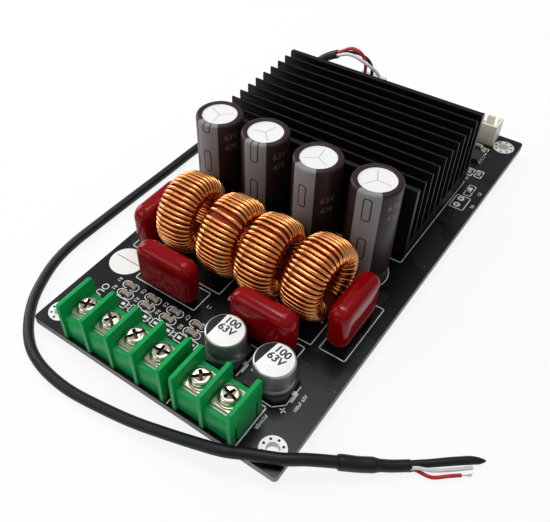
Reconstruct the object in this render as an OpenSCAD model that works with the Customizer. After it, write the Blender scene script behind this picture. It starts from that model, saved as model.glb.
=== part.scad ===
// Stereo audio amplifier board with heatsink, toroid inductors, barrier terminals and input lead.
// Millimetres. Origin: middle of the board in plan, on the surface the trimmed leads stand on.
// Places on the board are measured from its front left corner, unless a comment says otherwise.

/* [Board] */
// Width of the board, left to right
board_w = 73; // [73:0.5:90]
// Length of the board, front to back
board_l = 138; // [138:0.5:165]
// Thickness of the board
board_t = 2; // [1.6:0.1:2.4]
// Corner radius of the board
board_r = 1; // [0.4:0.1:2]
// Mounting hole diameter
mount_d = 3.2; // [2.7:0.1:4.3]
// Mounting hole centres from the side edges
mount_in_x = 4.3; // [3.5:0.1:6]
// Mounting hole centres from the front and back edges
mount_in_y = 5.3; // [3.5:0.1:6]
// Length of the trimmed leads below the board
tail = 2; // [1.9:0.1:3]
// Gap round a lead in its hole
lead_gap = 0.12; // [0.06:0.02:0.2]

/* [Terminals] */
// Distance from one terminal to the next
term_pitch = 7.62; // [7.5:0.01:8.5]
// Thickness of the barrier walls
wall_t = 1.1; // [0.8:0.05:1.25]
// Height of the barrier walls above the board
wall_h = 11.9; // [11:0.1:14]
// Depth of the barrier walls, front to back
wall_l = 11.3; // [10.5:0.1:13]
// Height of the floor between the walls
floor_h = 7.2; // [6.4:0.1:8]
// How far the block's front and back faces lie inside the walls
face_in = 0.8; // [0.4:0.05:1]
// Inset of the two slots in the right end wall
slot_in = 1.9; // [1.4:0.1:2.6]
// Height of those slots
slot_h = 5.6; // [4:0.1:6.2]
// Width of those slots
slot_w = 0.5; // [0.4:0.05:0.8]
// Front of the walls from the board's front edge
term_in_y = 0.25; // [0:0.05:2]
// First output wall from the board's left edge
out_x = 11.7; // [10:0.1:13]
// Gap between the two blocks, wall centre to wall centre
block_gap = 3.6; // [2:0.1:5]
// Screw axis from the front of the walls
screw_in = 5.6; // [5:0.1:6]
// Screw shank diameter
screw_d = 3; // [2.5:0.1:3.2]
// Screw head diameter
head_d = 5.6; // [5:0.1:6]
// Screw head height
head_h = 2; // [1.6:0.1:2.4]
// Length of the screw below its head
screw_len = 5; // [4:0.1:5.4]
// Side of the square clamp washer
clamp_s = 6; // [5.7:0.05:6.1]
// Thickness of the square clamp washer
clamp_t = 0.8; // [0.6:0.05:1]
// Thickness of the metal contact
contact_t = 0.8; // [0.6:0.05:1]
// Width of the metal contact
contact_w = 5.4; // [4.8:0.1:5.6]
// Running gap between screw, washer and contact
run_gap = 0.05; // [0.03:0.01:0.08]

/* [Heatsink] */
// Length of the heatsink along the board's width
sink_l = 61.5; // [55:0.5:63]
// Depth of the heatsink, front to back
sink_d = 40.3; // [36:0.1:42]
// Height of the heatsink
sink_h = 22; // [18:0.5:30]
// Thickness of the heatsink's base
sink_base = 4; // [3.5:0.1:6]
// Number of fins
fins = 11; // [7:1:13]
// Thickness of an inner fin
fin_t = 0.9; // [0.7:0.05:1.3]
// Thickness of the first and last fins
end_fin_t = 1.5; // [1:0.05:2]
// Left end of the heatsink from the board's left edge
sink_x = 4.2; // [2:0.1:8]
// Front of the heatsink from the board's front edge
sink_y = 70.2; // [69.5:0.1:74]
// Screws that hold the heatsink, inset from its ends and sides
sink_screw_in = 6; // [4.5:0.1:9]
// How far those screws reach into the base
sink_bite = 3; // [2:0.1:3.2]

/* [Bulk capacitors] */
// Diameter of a bulk capacitor
bulk_d = 12.5; // [10:0.1:13.4]
// Height of a bulk capacitor
bulk_h = 30.5; // [20:0.5:40]
// Lead spacing of a bulk capacitor
bulk_pitch = 5; // [3.5:0.1:7.5]
// Lead diameter of a bulk capacitor
bulk_lead = 0.8; // [0.6:0.05:1]
// Centres from the left edge
bulk_x = [12.8, 27, 43.2, 58.7]; // [8:0.1:66]
// Centres from the front edge
bulk_y = [61.8, 62.1, 60.9, 61.5]; // [60:0.1:63]

/* [Toroids] */
// Outer diameter of the core
core_od = 19.5; // [17:0.1:20]
// Inner diameter of the core
core_id = 12.6; // [12.4:0.1:13.6]
// Height of the core along its axis
core_h = 9.5; // [7:0.1:9.8]
// Edge radius of the core
core_r = 1.6; // [0.4:0.1:1.7]
// Diameter of the enamelled wire
wire_d = 0.85; // [0.6:0.05:0.9]
// Turns on each core
turns = 42; // [24:1:44]
// Part of the circle that the winding covers, in degrees
wound_arc = 320; // [300:5:335]
// Gap between the winding and the board
toroid_lift = 0.4; // [0.2:0.1:1]
// Centres from the left edge
toroid_x = [16.4, 30.4, 42.3, 55.5]; // [14:0.1:60]
// Centres from the front edge
toroid_y = [44.2, 43.3, 42.9, 43.8]; // [42:0.1:45]
// How far each one is turned about the vertical, in degrees
toroid_turn = [3, 1, 2, -3]; // [-4:0.5:4]

/* [Film capacitors] */
// Length of a film capacitor
film_l = 17; // [14:0.1:18]
// Thickness of a film capacitor
film_t = 5.7; // [4.5:0.1:6]
// Height of a film capacitor
film_h = 13; // [10:0.1:16]
// Edge radius of its dipped coat
film_r = 1.9; // [1:0.1:2.2]
// Gap between its body and the board
film_lift = 0.8; // [0.5:0.1:1.5]
// Lead spacing of a film capacitor
film_pitch = 12.5; // [10:0.1:13]
// Lead diameter of a film capacitor
film_lead = 0.7; // [0.5:0.05:0.9]
// Centres of the two front ones from the left edge
film_front_x = [22.4, 50.8]; // [20:0.1:53]
// Centres of the two front ones from the front edge
film_front_y = [26.7, 27.6]; // [26.5:0.1:28]
// Gap between the two side ones and the toroids beside them
film_gap = [0.8, 1.9]; // [0.8:0.1:2.5]
// Centres of the two side ones from the front edge
film_side_y = [42, 42.6]; // [41:0.1:44]

/* [Surface-mount electrolytics] */
// Diameter of the can
smd_d = 9.8; // [8:0.1:10]
// Top of the can above the board
smd_h = 8.8; // [6:0.1:11]
// Side of the plastic base
smd_base = 10.2; // [10:0.1:10.6]
// Centres from the left edge
smd_x = [45.9, 59.5]; // [44:0.1:61]
// Centres from the front edge
smd_y = [19.4, 19.2]; // [18.5:0.1:19.6]

/* [Headers] */
// Pin spacing of both headers
pin_pitch = 2.5; // [2.4:0.02:2.6]
// Side of a square header pin
pin_s = 0.64; // [0.5:0.02:0.7]
// Depth of a header, front to back
header_d = 5.75; // [5.5:0.05:6.5]
// Height of a header
header_h = 7; // [6.5:0.1:8]
// Wall of a header
header_wall = 0.8; // [0.6:0.05:1]
// Fan header's centre from the right edge
fan_in_x = 11.2; // [10.8:0.1:12]
// Fan header's centre from the back edge
fan_in_y = 4.2; // [4:0.1:5]
// Input header's centre from the left edge
input_x = 22.5; // [15:0.1:30]
// Input header's centre from the back edge
input_in_y = 8; // [6:0.1:12]

/* [Lead] */
// Diameter of the lead's jacket
jacket_d = 2.8; // [2.4:0.1:3]
// Diameter of each inner wire
core_wire_d = 1.1; // [0.9:0.05:1.2]

/* [Hidden] */
$fn = 48;

// A cut runs this far past the face it opens
past = 0.5;
top = tail + board_t;

// Colours as the object shows them
board_black = [0.05, 0.06, 0.07];
anodised = [0.04, 0.05, 0.05];
sleeve_brown = [0.2, 0.15, 0.15];
core_red = [0.5, 0.13, 0.1];
copper = [0.85, 0.5, 0.22];
dip_red = [0.5, 0.03, 0.05];
can_silver = [0.8, 0.82, 0.82];
base_black = [0.08, 0.08, 0.08];
term_green = [0.0, 0.5, 0.24];
nickel = [0.85, 0.83, 0.76];
ivory = [0.9, 0.88, 0.8];
tinned = [0.75, 0.76, 0.78];
chip_brown = [0.55, 0.45, 0.36];
lead_black = [0.07, 0.08, 0.08];

// Moves a child to a place on the board, with its zero height on the upper face
module on_board(place) {
  translate([place[0] - board_w / 2, place[1] - board_l / 2, top]) children();
}

// A point turned about the vertical
function turned(p, angle) = [
  p[0] * cos(angle) - p[1] * sin(angle),
  p[0] * sin(angle) + p[1] * cos(angle)
];

// Plain rectangle with round corners, from its middle
module round_rect(w, h, r) {
  square([w, h - 2 * r], center = true);
  square([w - 2 * r, h], center = true);
  for (sx = [-1, 1], sy = [-1, 1]) translate([sx * (w / 2 - r), sy * (h / 2 - r)]) circle(r);
}

// Sweeping a ring of points along a path
function unit(v) = v / norm(v);
function tangents(p) = [
  for (i = [0:len(p) - 1]) unit(p[min(i + 1, len(p) - 1)] - p[max(i - 1, 0)])
];
function square_to(n, t) = unit(n - (n * t) * t);
function carried(t, n0) = [
  for (i = 0, n = square_to(n0, t[0]); i < len(t); i = i + 1, n = square_to(n, t[min(i, len(t) - 1)])) n
];
function ring(c, n, b, size, sides) = [
  for (k = [0:sides - 1]) c + size[0] * cos(360 * k / sides) * n + size[1] * sin(360 * k / sides) * b
];
module swept(path, n, sizes, sides) {
  t = tangents(path);
  last = len(path) - 1;
  points = [for (i = [0:last]) each ring(path[i], n[i], cross(t[i], n[i]), sizes[i], sides)];
  start_face = [[for (k = [0:sides - 1]) k]];
  end_face = [[for (k = [sides - 1:-1:0]) last * sides + k]];
  side_faces = [
    for (i = [0:last - 1], k = [0:sides - 1])
      let (a = i * sides + k, b = i * sides + (k + 1) % sides)
        each [[a, a + sides, b + sides], [a, b + sides, b]]
  ];
  polyhedron(points, concat(start_face, side_faces, end_face), convexity = 10);
}

// Places worked out from the sizes above
out_ways = 4;
power_ways = 2;
power_x = out_x + out_ways * term_pitch + block_gap;
bay_x = concat(
  [for (i = [0:out_ways - 1]) out_x + (i + 0.5) * term_pitch],
  [for (i = [0:power_ways - 1]) power_x + (i + 0.5) * term_pitch]
);
screw_y = term_in_y + screw_in;
screw_face = [20, -35, 60, 10, 45, -15];
press = 0.02;
slip = 0.1;
contact_front = screw_in - 3.4;
contact_l = 7;
leg_w = 1.2;
leg_y = contact_front + contact_l - contact_t;
clamp_z = floor_h + run_gap;
head_z = clamp_z + clamp_t + run_gap;

chip_l = 14;
chip_w = 6.1;
chip_t = 1.1;
chip_stand = 0.1;
chip_x = 35;
chip_y = sink_y + sink_d / 2;
pad_t = 0.5;
sink_z = chip_stand + chip_t + pad_t;
sink_screw_d = 3;
sink_head_d = 5.5;
sink_head_h = 1.7;
sink_screw_spots = [
  for (x = [sink_x + sink_screw_in, sink_x + sink_l - sink_screw_in],
       y = [sink_y + sink_screw_in, sink_y + sink_d - sink_screw_in]) [x, y]
];
reg_x = board_w - 9.8;
reg_y = board_l - 15.4;
reg_w = 3.9;
reg_l = 4.9;
reg_t = 1.4;

axis_h = toroid_lift + core_od / 2 + wire_d;
wire_out = core_od / 2 + wire_d / 2 + press;
wire_in = core_id / 2 - wire_d / 2 - press;
wire_side = core_h / 2 + wire_d / 2 + press;
core_edge = min(core_r, (core_od - core_id) / 4 - 0.05);
wire_cut = wire_side + wire_out - (core_h + core_od) / 2 + 2 * core_edge
  - sqrt(2) * (core_edge + wire_d / 2 + 0.05);
wire_step = 0.73 * wire_d;
wound_w = 2 * wire_side + wire_d;
first_angle = -90 + (360 - wound_arc) / 2;
coil_lead = [wire_cut - wire_side, wire_out * cos(first_angle)];

film_spots = [
  [film_front_x[0], film_front_y[0], 0],
  [film_front_x[1], film_front_y[1], 0],
  [toroid_x[0] - wound_w / 2 - film_gap[0] - film_t / 2, film_side_y[0], 90],
  [toroid_x[3] + wound_w / 2 + film_gap[1] + film_t / 2, film_side_y[1], 90]
];
pants_z = 0.25;

smd_tab_t = 0.3;
smd_base_t = 1.2;

pin_top = 6;
header_floor = 1.3;
fan_pins = 2;
input_pins = 3;
fan_spot = [board_w - fan_in_x, board_l - fan_in_y];
input_spot = [input_x, board_l - input_in_y];
plug_h = 3.4;
function pin_row(spot, n) = [for (i = [0:n - 1]) [spot[0] + (i - (n - 1) / 2) * pin_pitch, spot[1]]];
pin_spots = concat(pin_row(fan_spot, fan_pins), pin_row(input_spot, input_pins));

// Through-hole leads, each as place and diameter
bulk_lead_spots = [for (i = [0:3], s = [-1, 1]) [bulk_x[i], bulk_y[i] + s * bulk_pitch / 2, bulk_lead]];
coil_lead_spots = [
  for (i = [0:3], s = [-1, 1])
    let (p = turned(s * coil_lead, toroid_turn[i])) [toroid_x[i] + p[0], toroid_y[i] + p[1], wire_d]
];
film_lead_spots = [
  for (f = film_spots, s = [-1, 1])
    let (p = turned([s * film_pitch / 2, 0], f[2])) [f[0] + p[0], f[1] + p[1], film_lead]
];
leg_d = norm([leg_w, contact_t]);
leg_spots = [for (x = bay_x) [x, term_in_y + leg_y + contact_t / 2, leg_d]];
pin_d = pin_s * sqrt(2);
pin_lead_spots = [for (p = pin_spots) [p[0], p[1], pin_d]];
lead_spots = concat(bulk_lead_spots, coil_lead_spots, film_lead_spots, leg_spots, pin_lead_spots);
mount_spots = [for (x = [mount_in_x, board_w - mount_in_x], y = [mount_in_y, board_l - mount_in_y]) [x, y]];

// Surface-mount chips: place, length, width, height, turn
chip_spots = [
  [13.1, 21.8, 3.2, 1.6, 0.9, 0], [20.7, 21.8, 3.2, 1.6, 0.9, 0],
  [28, 21.8, 3.2, 1.6, 0.9, 0], [35.4, 21.8, 3.2, 1.6, 0.9, 0],
  [13.7, 19, 3.2, 1.6, 0.9, 0], [20.9, 19, 3.2, 1.6, 0.9, 0],
  [27.9, 19, 3.2, 1.6, 0.9, 0], [35.6, 19, 3.2, 1.6, 0.9, 0],
  [board_w - 7.9, board_l - 22.5, 2, 1.25, 0.7, 90], [board_w - 5.2, board_l - 22.2, 2, 1.25, 0.7, 90],
  [board_w - 4.4, board_l - 30.8, 2, 1.25, 0.8, 90], [board_w - 8.4, board_l - 10.7, 2, 1.25, 0.7, 90],
  [board_w - 10.9, board_l - 9.6, 3.2, 1.6, 1.1, 0]
];
chip_end = 0.45;

// The lead's route, in millimetres from the front left corner and the standing surface
corner = [-36.5, -69, 0];
jacket_route = [
  [82.1, 11.6, 3.4], [79, 9.3, 4.2], [75.7, 6.8, 4.9], [72.4, 4.1, 5.4], [68.7, 2.1, 5.5], [64.9, 0.2, 5.5],
  [61, -1.8, 5.4], [55.6, -3.3, 4.6], [47.4, -5.2, 3.4], [38.5, -7, 2.3], [27.7, -8.5, 1.6], [21, -9.1, 1.5],
  [14.7, -8.8, 1.5], [9.2, -7.7, 1.5], [4.1, -5.5, 1.5], [-1, -1.5, 1.5], [-5.9, 4.3, 1.5], [-9.2, 10.5, 1.5],
  [-11.8, 17.7, 1.5], [-12.9, 25.5, 1.5], [-12.9, 35, 1.5], [-12.6, 49, 1.5], [-12.2, 64, 1.5],
  [-11.9, 80, 1.5], [-11.3, 95, 1.5], [-10.3, 103, 1.5], [-8.8, 110.5, 2], [-6.6, 117.5, 3.4],
  [-3.9, 122.7, 6], [-1, 126.5, 9.6], [2.2, 129, 13.4], [5.5, 130.2, 16.2], [9.2, 130.4, 18.3]
];
jacket_start = jacket_route[0];
start_dir = unit(jacket_route[0] - jacket_route[1]);
jacket_end = jacket_route[len(jacket_route) - 1];
end_dir = unit(jacket_end - jacket_route[len(jacket_route) - 2]);
end_side = unit(cross(end_dir, [0, 0, 1]));
end_up = cross(end_side, end_dir);
plug_z = top + header_h + plug_h;
red_pin = [input_x - pin_pitch, board_l - input_in_y] - [board_w / 2, board_l / 2] - [corner[0], corner[1]];
plug_in = [for (i = [0:2]) [red_pin[0] + i * pin_pitch, red_pin[1], plug_z]];
red_start = jacket_end + 0.68 * end_up;
white_start = jacket_end + 0.59 * end_side - 0.34 * end_up;
black_start = jacket_end - 0.59 * end_side - 0.34 * end_up;
red_route = [
  red_start, red_start + 1.5 * end_dir, [13.6, 130.2, 21.7], [16, 130.1, 22], [18.1, 130, 21.2],
  [19.6, 130, 19], [plug_in[0][0], plug_in[0][1], plug_z + 2.4], plug_in[0]
];
white_route = [
  white_start, white_start + 1.5 * end_dir, [13.3, 128.9, 20.2], [16, 128.7, 20.5], [18.8, 128.7, 19.8],
  [21.6, 128.9, 18.7], [23.8, 129.5, 17.2], [plug_in[2][0], plug_in[2][1], plug_z + 1.2], plug_in[2]
];
black_route = [
  black_start, black_start + 1.5 * end_dir, [13.5, 131.1, 19.9], [16, 131.4, 20.2], [18.5, 131.5, 19.6],
  [20.6, 131.3, 18.5], [22, 130.6, 17.1], [plug_in[1][0], plug_in[1][1], plug_z + 1.2], plug_in[1]
];
sleeve_route = [
  jacket_start, jacket_start + 3 * start_dir, [87, 15.2, 2.4], [88.4, 16.2, 2.2], [90.6, 17.9, 1.8], [93.3, 20.2, 1.5]
];
sleeve_sizes = [[1.7, 1.7], [1.7, 1.7], [1.7, 1.7], [1.4, 1.5], [1.3, 1.5], [1.2, 1.5]];
sleeve_end = sleeve_route[5];
tail_dir = unit(sleeve_route[5] - sleeve_route[4]);
tail_side = unit(cross(tail_dir, [0, 0, 1]));
tail_up = cross(tail_side, tail_dir);
shield_start = sleeve_end - 0.55 * tail_side + 0.15 * tail_up;
shield_route = [
  shield_start, shield_start + 1.2 * tail_dir, [96.5, 23.2, 1.5], [99.6, 26, 1.4], [102.8, 28.8, 1.2],
  [104.4, 29.9, 1.1], [105.5, 30.7, 1.1]
];
white_tail_start = sleeve_end + 0.8 * tail_side + 0.4 * tail_up;
white_tail_route = [
  white_tail_start, white_tail_start + 1.2 * tail_dir, [97.6, 22.1, 1.3], [100.7, 24.9, 0.8], [103.9, 27.9, 0.6]
];
red_tail_start = sleeve_end + 0.75 * tail_side - 0.65 * tail_up;
red_tail_route = [
  red_tail_start, red_tail_start + 1.2 * tail_dir, [97.9, 20.9, 0.55], [100.6, 23.2, 0.55], [102.7, 25, 0.55], [104.5, 26.4, 0.4]
];

// Round cuts through the board
module board_hole(p, d) {
  on_board(p) translate([0, 0, -board_t - past]) cylinder(d = d, h = board_t + 2 * past);
}

module circuit_board() color(board_black) difference() {
  translate([0, 0, tail]) linear_extrude(board_t) round_rect(board_w, board_l, board_r);
  for (p = mount_spots) board_hole(p, mount_d);
  for (p = sink_screw_spots) board_hole(p, sink_screw_d + 2 * slip);
  for (p = lead_spots) board_hole(p, p[2] + 2 * lead_gap);
}

function fin_w(i) = i == 0 || i == fins - 1 ? end_fin_t : fin_t;
function fin_mid(i) = end_fin_t / 2 + i * (sink_d - end_fin_t) / (fins - 1);

module heatsink() color(anodised) difference() {
  on_board([sink_x, sink_y]) translate([0, 0, sink_z]) rotate([90, 0, 90]) linear_extrude(sink_l) {
    square([sink_d, sink_base]);
    for (i = [0:fins - 1]) translate([fin_mid(i) - fin_w(i) / 2, 0]) square([fin_w(i), sink_h]);
  }
  for (p = sink_screw_spots) on_board(p) translate([0, 0, sink_z - past])
    cylinder(d = sink_screw_d + 2 * press, h = past + sink_bite + 0.3);
}

module heatsink_screws() color(nickel) for (p = sink_screw_spots) on_board(p) {
  translate([0, 0, -board_t - sink_head_h]) difference() {
    cylinder(d = sink_head_d, h = sink_head_h);
    for (a = [0, 90]) rotate([0, 0, a]) translate([-1.4, -0.35, -past]) cube([2.8, 0.7, 1 + past]);
  }
  translate([0, 0, -board_t]) cylinder(d = sink_screw_d, h = board_t + sink_z + sink_bite);
}

module thermal_pad() color([0.7, 0.72, 0.75]) on_board([chip_x, chip_y])
  translate([-chip_l / 2 - 1, -chip_w / 2 - 1, sink_z - pad_t]) cube([chip_l + 2, chip_w + 2, pad_t]);

module amplifier_chip() color(base_black) on_board([chip_x, chip_y])
  translate([-chip_l / 2, -chip_w / 2, chip_stand]) cube([chip_l, chip_w, chip_t]);

module regulator_chip() color(base_black) on_board([reg_x, reg_y])
  translate([-reg_w / 2, -reg_l / 2, chip_stand]) cube([reg_w, reg_l, reg_t]);

// Bent lead of a chip, from the side of its body down to the board
module bent_lead(w, reach, rise, t) {
  knee = 0.35 * reach;
  rotate([90, 0, 90]) translate([0, 0, -w / 2]) linear_extrude(w) polygon([
    [0, rise - t / 2], [knee, rise - t / 2], [knee, 0], [reach, 0],
    [reach, t], [knee + t, t], [knee + t, rise + t / 2], [0, rise + t / 2]
  ]);
}

module chip_leads() color(tinned) {
  on_board([chip_x, chip_y]) for (i = [0:21], s = [0, 1]) mirror([0, s, 0])
    translate([(i - 10.5) * 0.635, chip_w / 2, 0]) bent_lead(0.24, 1, 0.6, 0.15);
  on_board([reg_x, reg_y]) for (i = [0:3], s = [-90, 90]) rotate([0, 0, s])
    translate([(i - 1.5) * 1.27, reg_w / 2, 0]) bent_lead(0.42, 1, 0.7, 0.2);
}

module bulk_capacitor(i) color(sleeve_brown) on_board([bulk_x[i], bulk_y[i]]) difference() {
  rotate_extrude() difference() {
    square([bulk_d / 2, bulk_h]);
    translate([bulk_d / 2 + 0.3, 2.8]) circle(0.8);
    translate([0, bulk_h - 0.35]) square([0.365 * bulk_d, 1]);
    translate([bulk_d / 2 - 0.9, bulk_h - 0.9]) difference() {
      square(2);
      circle(0.9);
    }
  }
  for (a = [90, 210, 330]) rotate([0, 0, a]) translate([0, -0.2, bulk_h - 0.5]) cube([0.29 * bulk_d, 0.4, 1]);
}

// Straight round leads that end at the standing surface
module straight_leads(spots, up) {
  for (p = spots) on_board(p) translate([0, 0, -top]) cylinder(d = p[2], h = top + up);
}

module bulk_leads() color(tinned) straight_leads(bulk_lead_spots, 0);

module at_toroid(i) {
  on_board([toroid_x[i], toroid_y[i]]) translate([0, 0, axis_h]) rotate([0, 0, toroid_turn[i]]) children();
}

module toroid_core(i) color(core_red) at_toroid(i) rotate([0, 90, 0]) rotate_extrude()
  translate([(core_od + core_id) / 4, 0]) round_rect((core_od - core_id) / 2, core_h, core_edge);

// One point of the winding: radius and side for each eighth of a turn
function coil_in(k) = wire_in - (k % 2) * wire_step;
function coil_radius(k, j) = [
  wire_out, wire_out, wire_out - wire_cut, coil_in(k) + wire_cut,
  coil_in(k), coil_in(k), coil_in(k) + wire_cut, wire_out - wire_cut
][j];
function coil_side(j) = [
  wire_cut - wire_side, wire_side - wire_cut, wire_side, wire_side,
  wire_side - wire_cut, wire_cut - wire_side, -wire_side, -wire_side
][j];
coil_last = turns * 8 + 1;
function coil_angle(s) = first_angle + s * (wound_arc / coil_last);
function coil_point(s) =
  let (a = coil_angle(s), r = coil_radius(floor(s / 8), s % 8))
    [coil_side(s % 8), r * cos(a), r * sin(a)];
coil_foot = -axis_h - top + 0.3;
coil_route = concat(
  [[coil_lead[0], coil_lead[1], coil_foot]],
  [for (s = [0:coil_last]) coil_point(s)],
  [[-coil_lead[0], -coil_lead[1], coil_foot]]
);
coil_tangents = tangents(coil_route);
coil_normals = [
  for (i = [0:len(coil_route) - 1])
    let (a = coil_angle(min(max(i - 1, 0), coil_last)))
      square_to([0, -sin(a), cos(a)], coil_tangents[i])
];
coil_sizes = [for (p = coil_route) [wire_d / 2, wire_d / 2]];

module toroid_winding(i) color(copper) at_toroid(i) swept(coil_route, coil_normals, coil_sizes, 4);

module film_capacitor(i) color(dip_red) on_board(film_spots[i]) rotate([0, 0, film_spots[i][2]]) {
  translate([0, 0, film_lift + film_h / 2]) intersection() {
    translate([0, 0, -film_h / 2]) linear_extrude(film_h) round_rect(film_l, film_t, film_r);
    rotate([90, 0, 0]) translate([0, 0, -film_t / 2]) linear_extrude(film_t) round_rect(film_l, film_h, film_r);
    rotate([90, 0, 90]) translate([0, 0, -film_l / 2]) linear_extrude(film_l) round_rect(film_t, film_h, film_r);
  }
  for (s = [-1, 1]) translate([s * film_pitch / 2, 0, pants_z])
    cylinder(d1 = film_lead + 0.4, d2 = film_lead + 1.2, h = film_lift - pants_z + 0.4);
}

module film_leads() color(tinned) straight_leads(film_lead_spots, pants_z);

module smd_can(i) color(can_silver) on_board([smd_x[i], smd_y[i]])
  translate([0, 0, smd_tab_t + smd_base_t]) rotate_extrude() difference() {
    square([smd_d / 2, smd_h - smd_tab_t - smd_base_t]);
    translate([smd_d / 2 + 0.2, 1.4]) circle(0.6);
    translate([smd_d / 2 - 0.6, smd_h - smd_tab_t - smd_base_t - 0.6]) difference() {
      square(2);
      circle(0.6);
    }
  }

module smd_base_block(i) color(base_black) on_board([smd_x[i], smd_y[i]]) translate([0, 0, smd_tab_t])
  linear_extrude(smd_base_t) polygon([
    [-smd_base / 2, -smd_base / 2], [smd_base / 2 - 1.8, -smd_base / 2], [smd_base / 2, 1.8 - smd_base / 2],
    [smd_base / 2, smd_base / 2 - 1.8], [smd_base / 2 - 1.8, smd_base / 2], [-smd_base / 2, smd_base / 2]
  ]);

module smd_tabs() color(tinned) for (i = [0, 1], s = [0, 1]) on_board([smd_x[i], smd_y[i]]) mirror([s, 0, 0])
  translate([2, -0.6, 0]) cube([smd_base / 2 - 1.1, 1.2, smd_tab_t]);

// Side of a barrier wall, seen from the left
module wall_side() {
  r = 0.8;
  square([wall_l, wall_h - r]);
  translate([r, 0]) square([wall_l - 2 * r, wall_h]);
  for (y = [r, wall_l - r]) translate([y, wall_h - r]) circle(r);
}

module barrier_block(x, ways) color(term_green) on_board([x, term_in_y]) difference() {
  union() {
    translate([0, face_in, 0]) cube([ways * term_pitch, wall_l - 2 * face_in, floor_h]);
    for (i = [0:ways]) translate([i * term_pitch - wall_t / 2, 0, 0]) rotate([90, 0, 90]) linear_extrude(wall_t)
      wall_side();
  }
  for (i = [0:ways - 1]) translate([(i + 0.5) * term_pitch, 0, 0]) {
    translate([-contact_w / 2 - press, contact_front - press, floor_h - contact_t])
      cube([contact_w + 2 * press, contact_l + 2 * press, contact_t + past]);
    translate([0, screw_in, floor_h - screw_len]) cylinder(d = screw_d + 0.8, h = screw_len);
    translate([-leg_w / 2 - press, leg_y - press, -past])
      cube([leg_w + 2 * press, contact_t + 2 * press, floor_h + past]);
  }
  for (y = [slot_in, wall_l - slot_in]) translate([ways * term_pitch, y - slot_w / 2, -past])
    cube([wall_t, slot_w, slot_h + past]);
}

module terminal_contacts() color(tinned) for (x = bay_x) on_board([x, term_in_y]) {
  difference() {
    translate([-contact_w / 2, contact_front, floor_h - contact_t]) cube([contact_w, contact_l, contact_t]);
    translate([0, screw_in, floor_h - contact_t - past])
      cylinder(d = screw_d + 2 * run_gap, h = contact_t + 2 * past);
  }
  translate([-leg_w / 2, leg_y, -top]) cube([leg_w, contact_t, top + floor_h - contact_t / 2]);
}

module clamp_washer(i) color(nickel) on_board([bay_x[i], screw_y]) translate([0, 0, clamp_z]) difference() {
  linear_extrude(clamp_t) round_rect(clamp_s, clamp_s, 0.5);
  translate([0, 0, -past]) cylinder(d = screw_d + 2 * run_gap, h = clamp_t + 2 * past);
}

module terminal_screw(i) color(nickel) on_board([bay_x[i], screw_y]) {
  translate([0, 0, head_z]) difference() {
    rotate_extrude() {
      square([head_d / 2, 0.5]);
      difference() {
        square([head_d / 2 - 0.25, head_h]);
        translate([head_d / 2 - 1.15, head_h - 0.9]) difference() {
          square(2);
          circle(0.9);
        }
      }
    }
    rotate([0, 0, screw_face[i]]) {
      translate([-head_d, -0.4, head_h - 0.7]) cube([2 * head_d, 0.8, 1]);
      translate([-0.4, -1.5, head_h - 1.2]) cube([0.8, 3, 2]);
      translate([-1.5, -0.4, head_h - 1.2]) cube([3, 0.8, 2]);
    }
  }
  translate([0, 0, head_z - screw_len]) cylinder(d = screw_d, h = screw_len);
}

module header_shell(spot, pins) color(ivory) on_board(spot) {
  w = (pins - 1) * pin_pitch + 4.9;
  difference() {
    translate([-w / 2, -header_d / 2, 0]) cube([w, header_d, header_h]);
    translate([header_wall - w / 2, header_wall - header_d / 2, header_floor])
      cube([w - 2 * header_wall, header_d - 2 * header_wall, header_h]);
    for (s = [-1, 1]) translate([s * (w / 2 - 2) - 0.5, header_d / 2 - header_wall - past, header_floor])
      cube([1, header_wall + 2 * past, header_h]);
    for (i = [0:pins - 1]) translate([(i - (pins - 1) / 2) * pin_pitch - pin_s / 2 - press, -pin_s / 2 - press, -past])
      cube([pin_s + 2 * press, pin_s + 2 * press, header_floor + 2 * past]);
  }
}

module header_pins() color(tinned) for (p = pin_spots) on_board(p) translate([-pin_s / 2, -pin_s / 2, -top])
  cube([pin_s, pin_s, top + pin_top]);

module input_plug() color(ivory) on_board(input_spot) {
  w = (input_pins - 1) * pin_pitch + 4.9;
  in_w = w - 2 * header_wall - 2 * slip;
  in_d = header_d - 2 * header_wall - 2 * slip;
  difference() {
    union() {
      translate([-in_w / 2, -in_d / 2, header_floor + slip]) cube([in_w, in_d, header_h - header_floor - slip + past]);
      translate([-w / 2 + 0.4, -header_d / 2 + 0.4, header_h]) cube([w - 0.8, header_d - 0.8, plug_h]);
    }
    for (i = [0:input_pins - 1]) translate([(i - 1) * pin_pitch - pin_s / 2 - slip, -pin_s / 2 - slip, 0])
      cube([pin_s + 2 * slip, pin_s + 2 * slip, pin_top + slip]);
  }
}

module on_chip(c) {
  on_board(c) rotate([0, 0, c[5]]) children();
}

module chip_bodies() color(chip_brown) for (c = chip_spots) on_chip(c)
  translate([chip_end - c[2] / 2, -c[3] / 2, 0]) cube([c[2] - 2 * chip_end, c[3], c[4]]);

module chip_ends() color(tinned) for (c = chip_spots, s = [0, 1]) on_chip(c) mirror([s, 0, 0])
  translate([-c[2] / 2, -c[3] / 2, 0]) cube([chip_end, c[3], c[4]]);

module solder_joints() color(tinned) for (p = lead_spots) on_board(p) translate([0, 0, -board_t]) rotate_extrude()
  polygon([
    [p[2] / 2 + press, 0], [p[2] / 2 + 0.6, 0], [p[2] / 2 + 0.25, -0.8], [p[2] / 2 + press, -1.1]
  ]);

// A lead of one round size along its route
module cord(route, d, sides) {
  translate(corner) swept(route, carried(tangents(route), [0.1, 0.2, 1]), [for (p = route) [d / 2, d / 2]], sides);
}

// A lead whose size changes along its route
module shaped_cord(route, sizes, sides) {
  translate(corner) swept(route, carried(tangents(route), [0, 0, 1]), sizes, sides);
}

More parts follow.
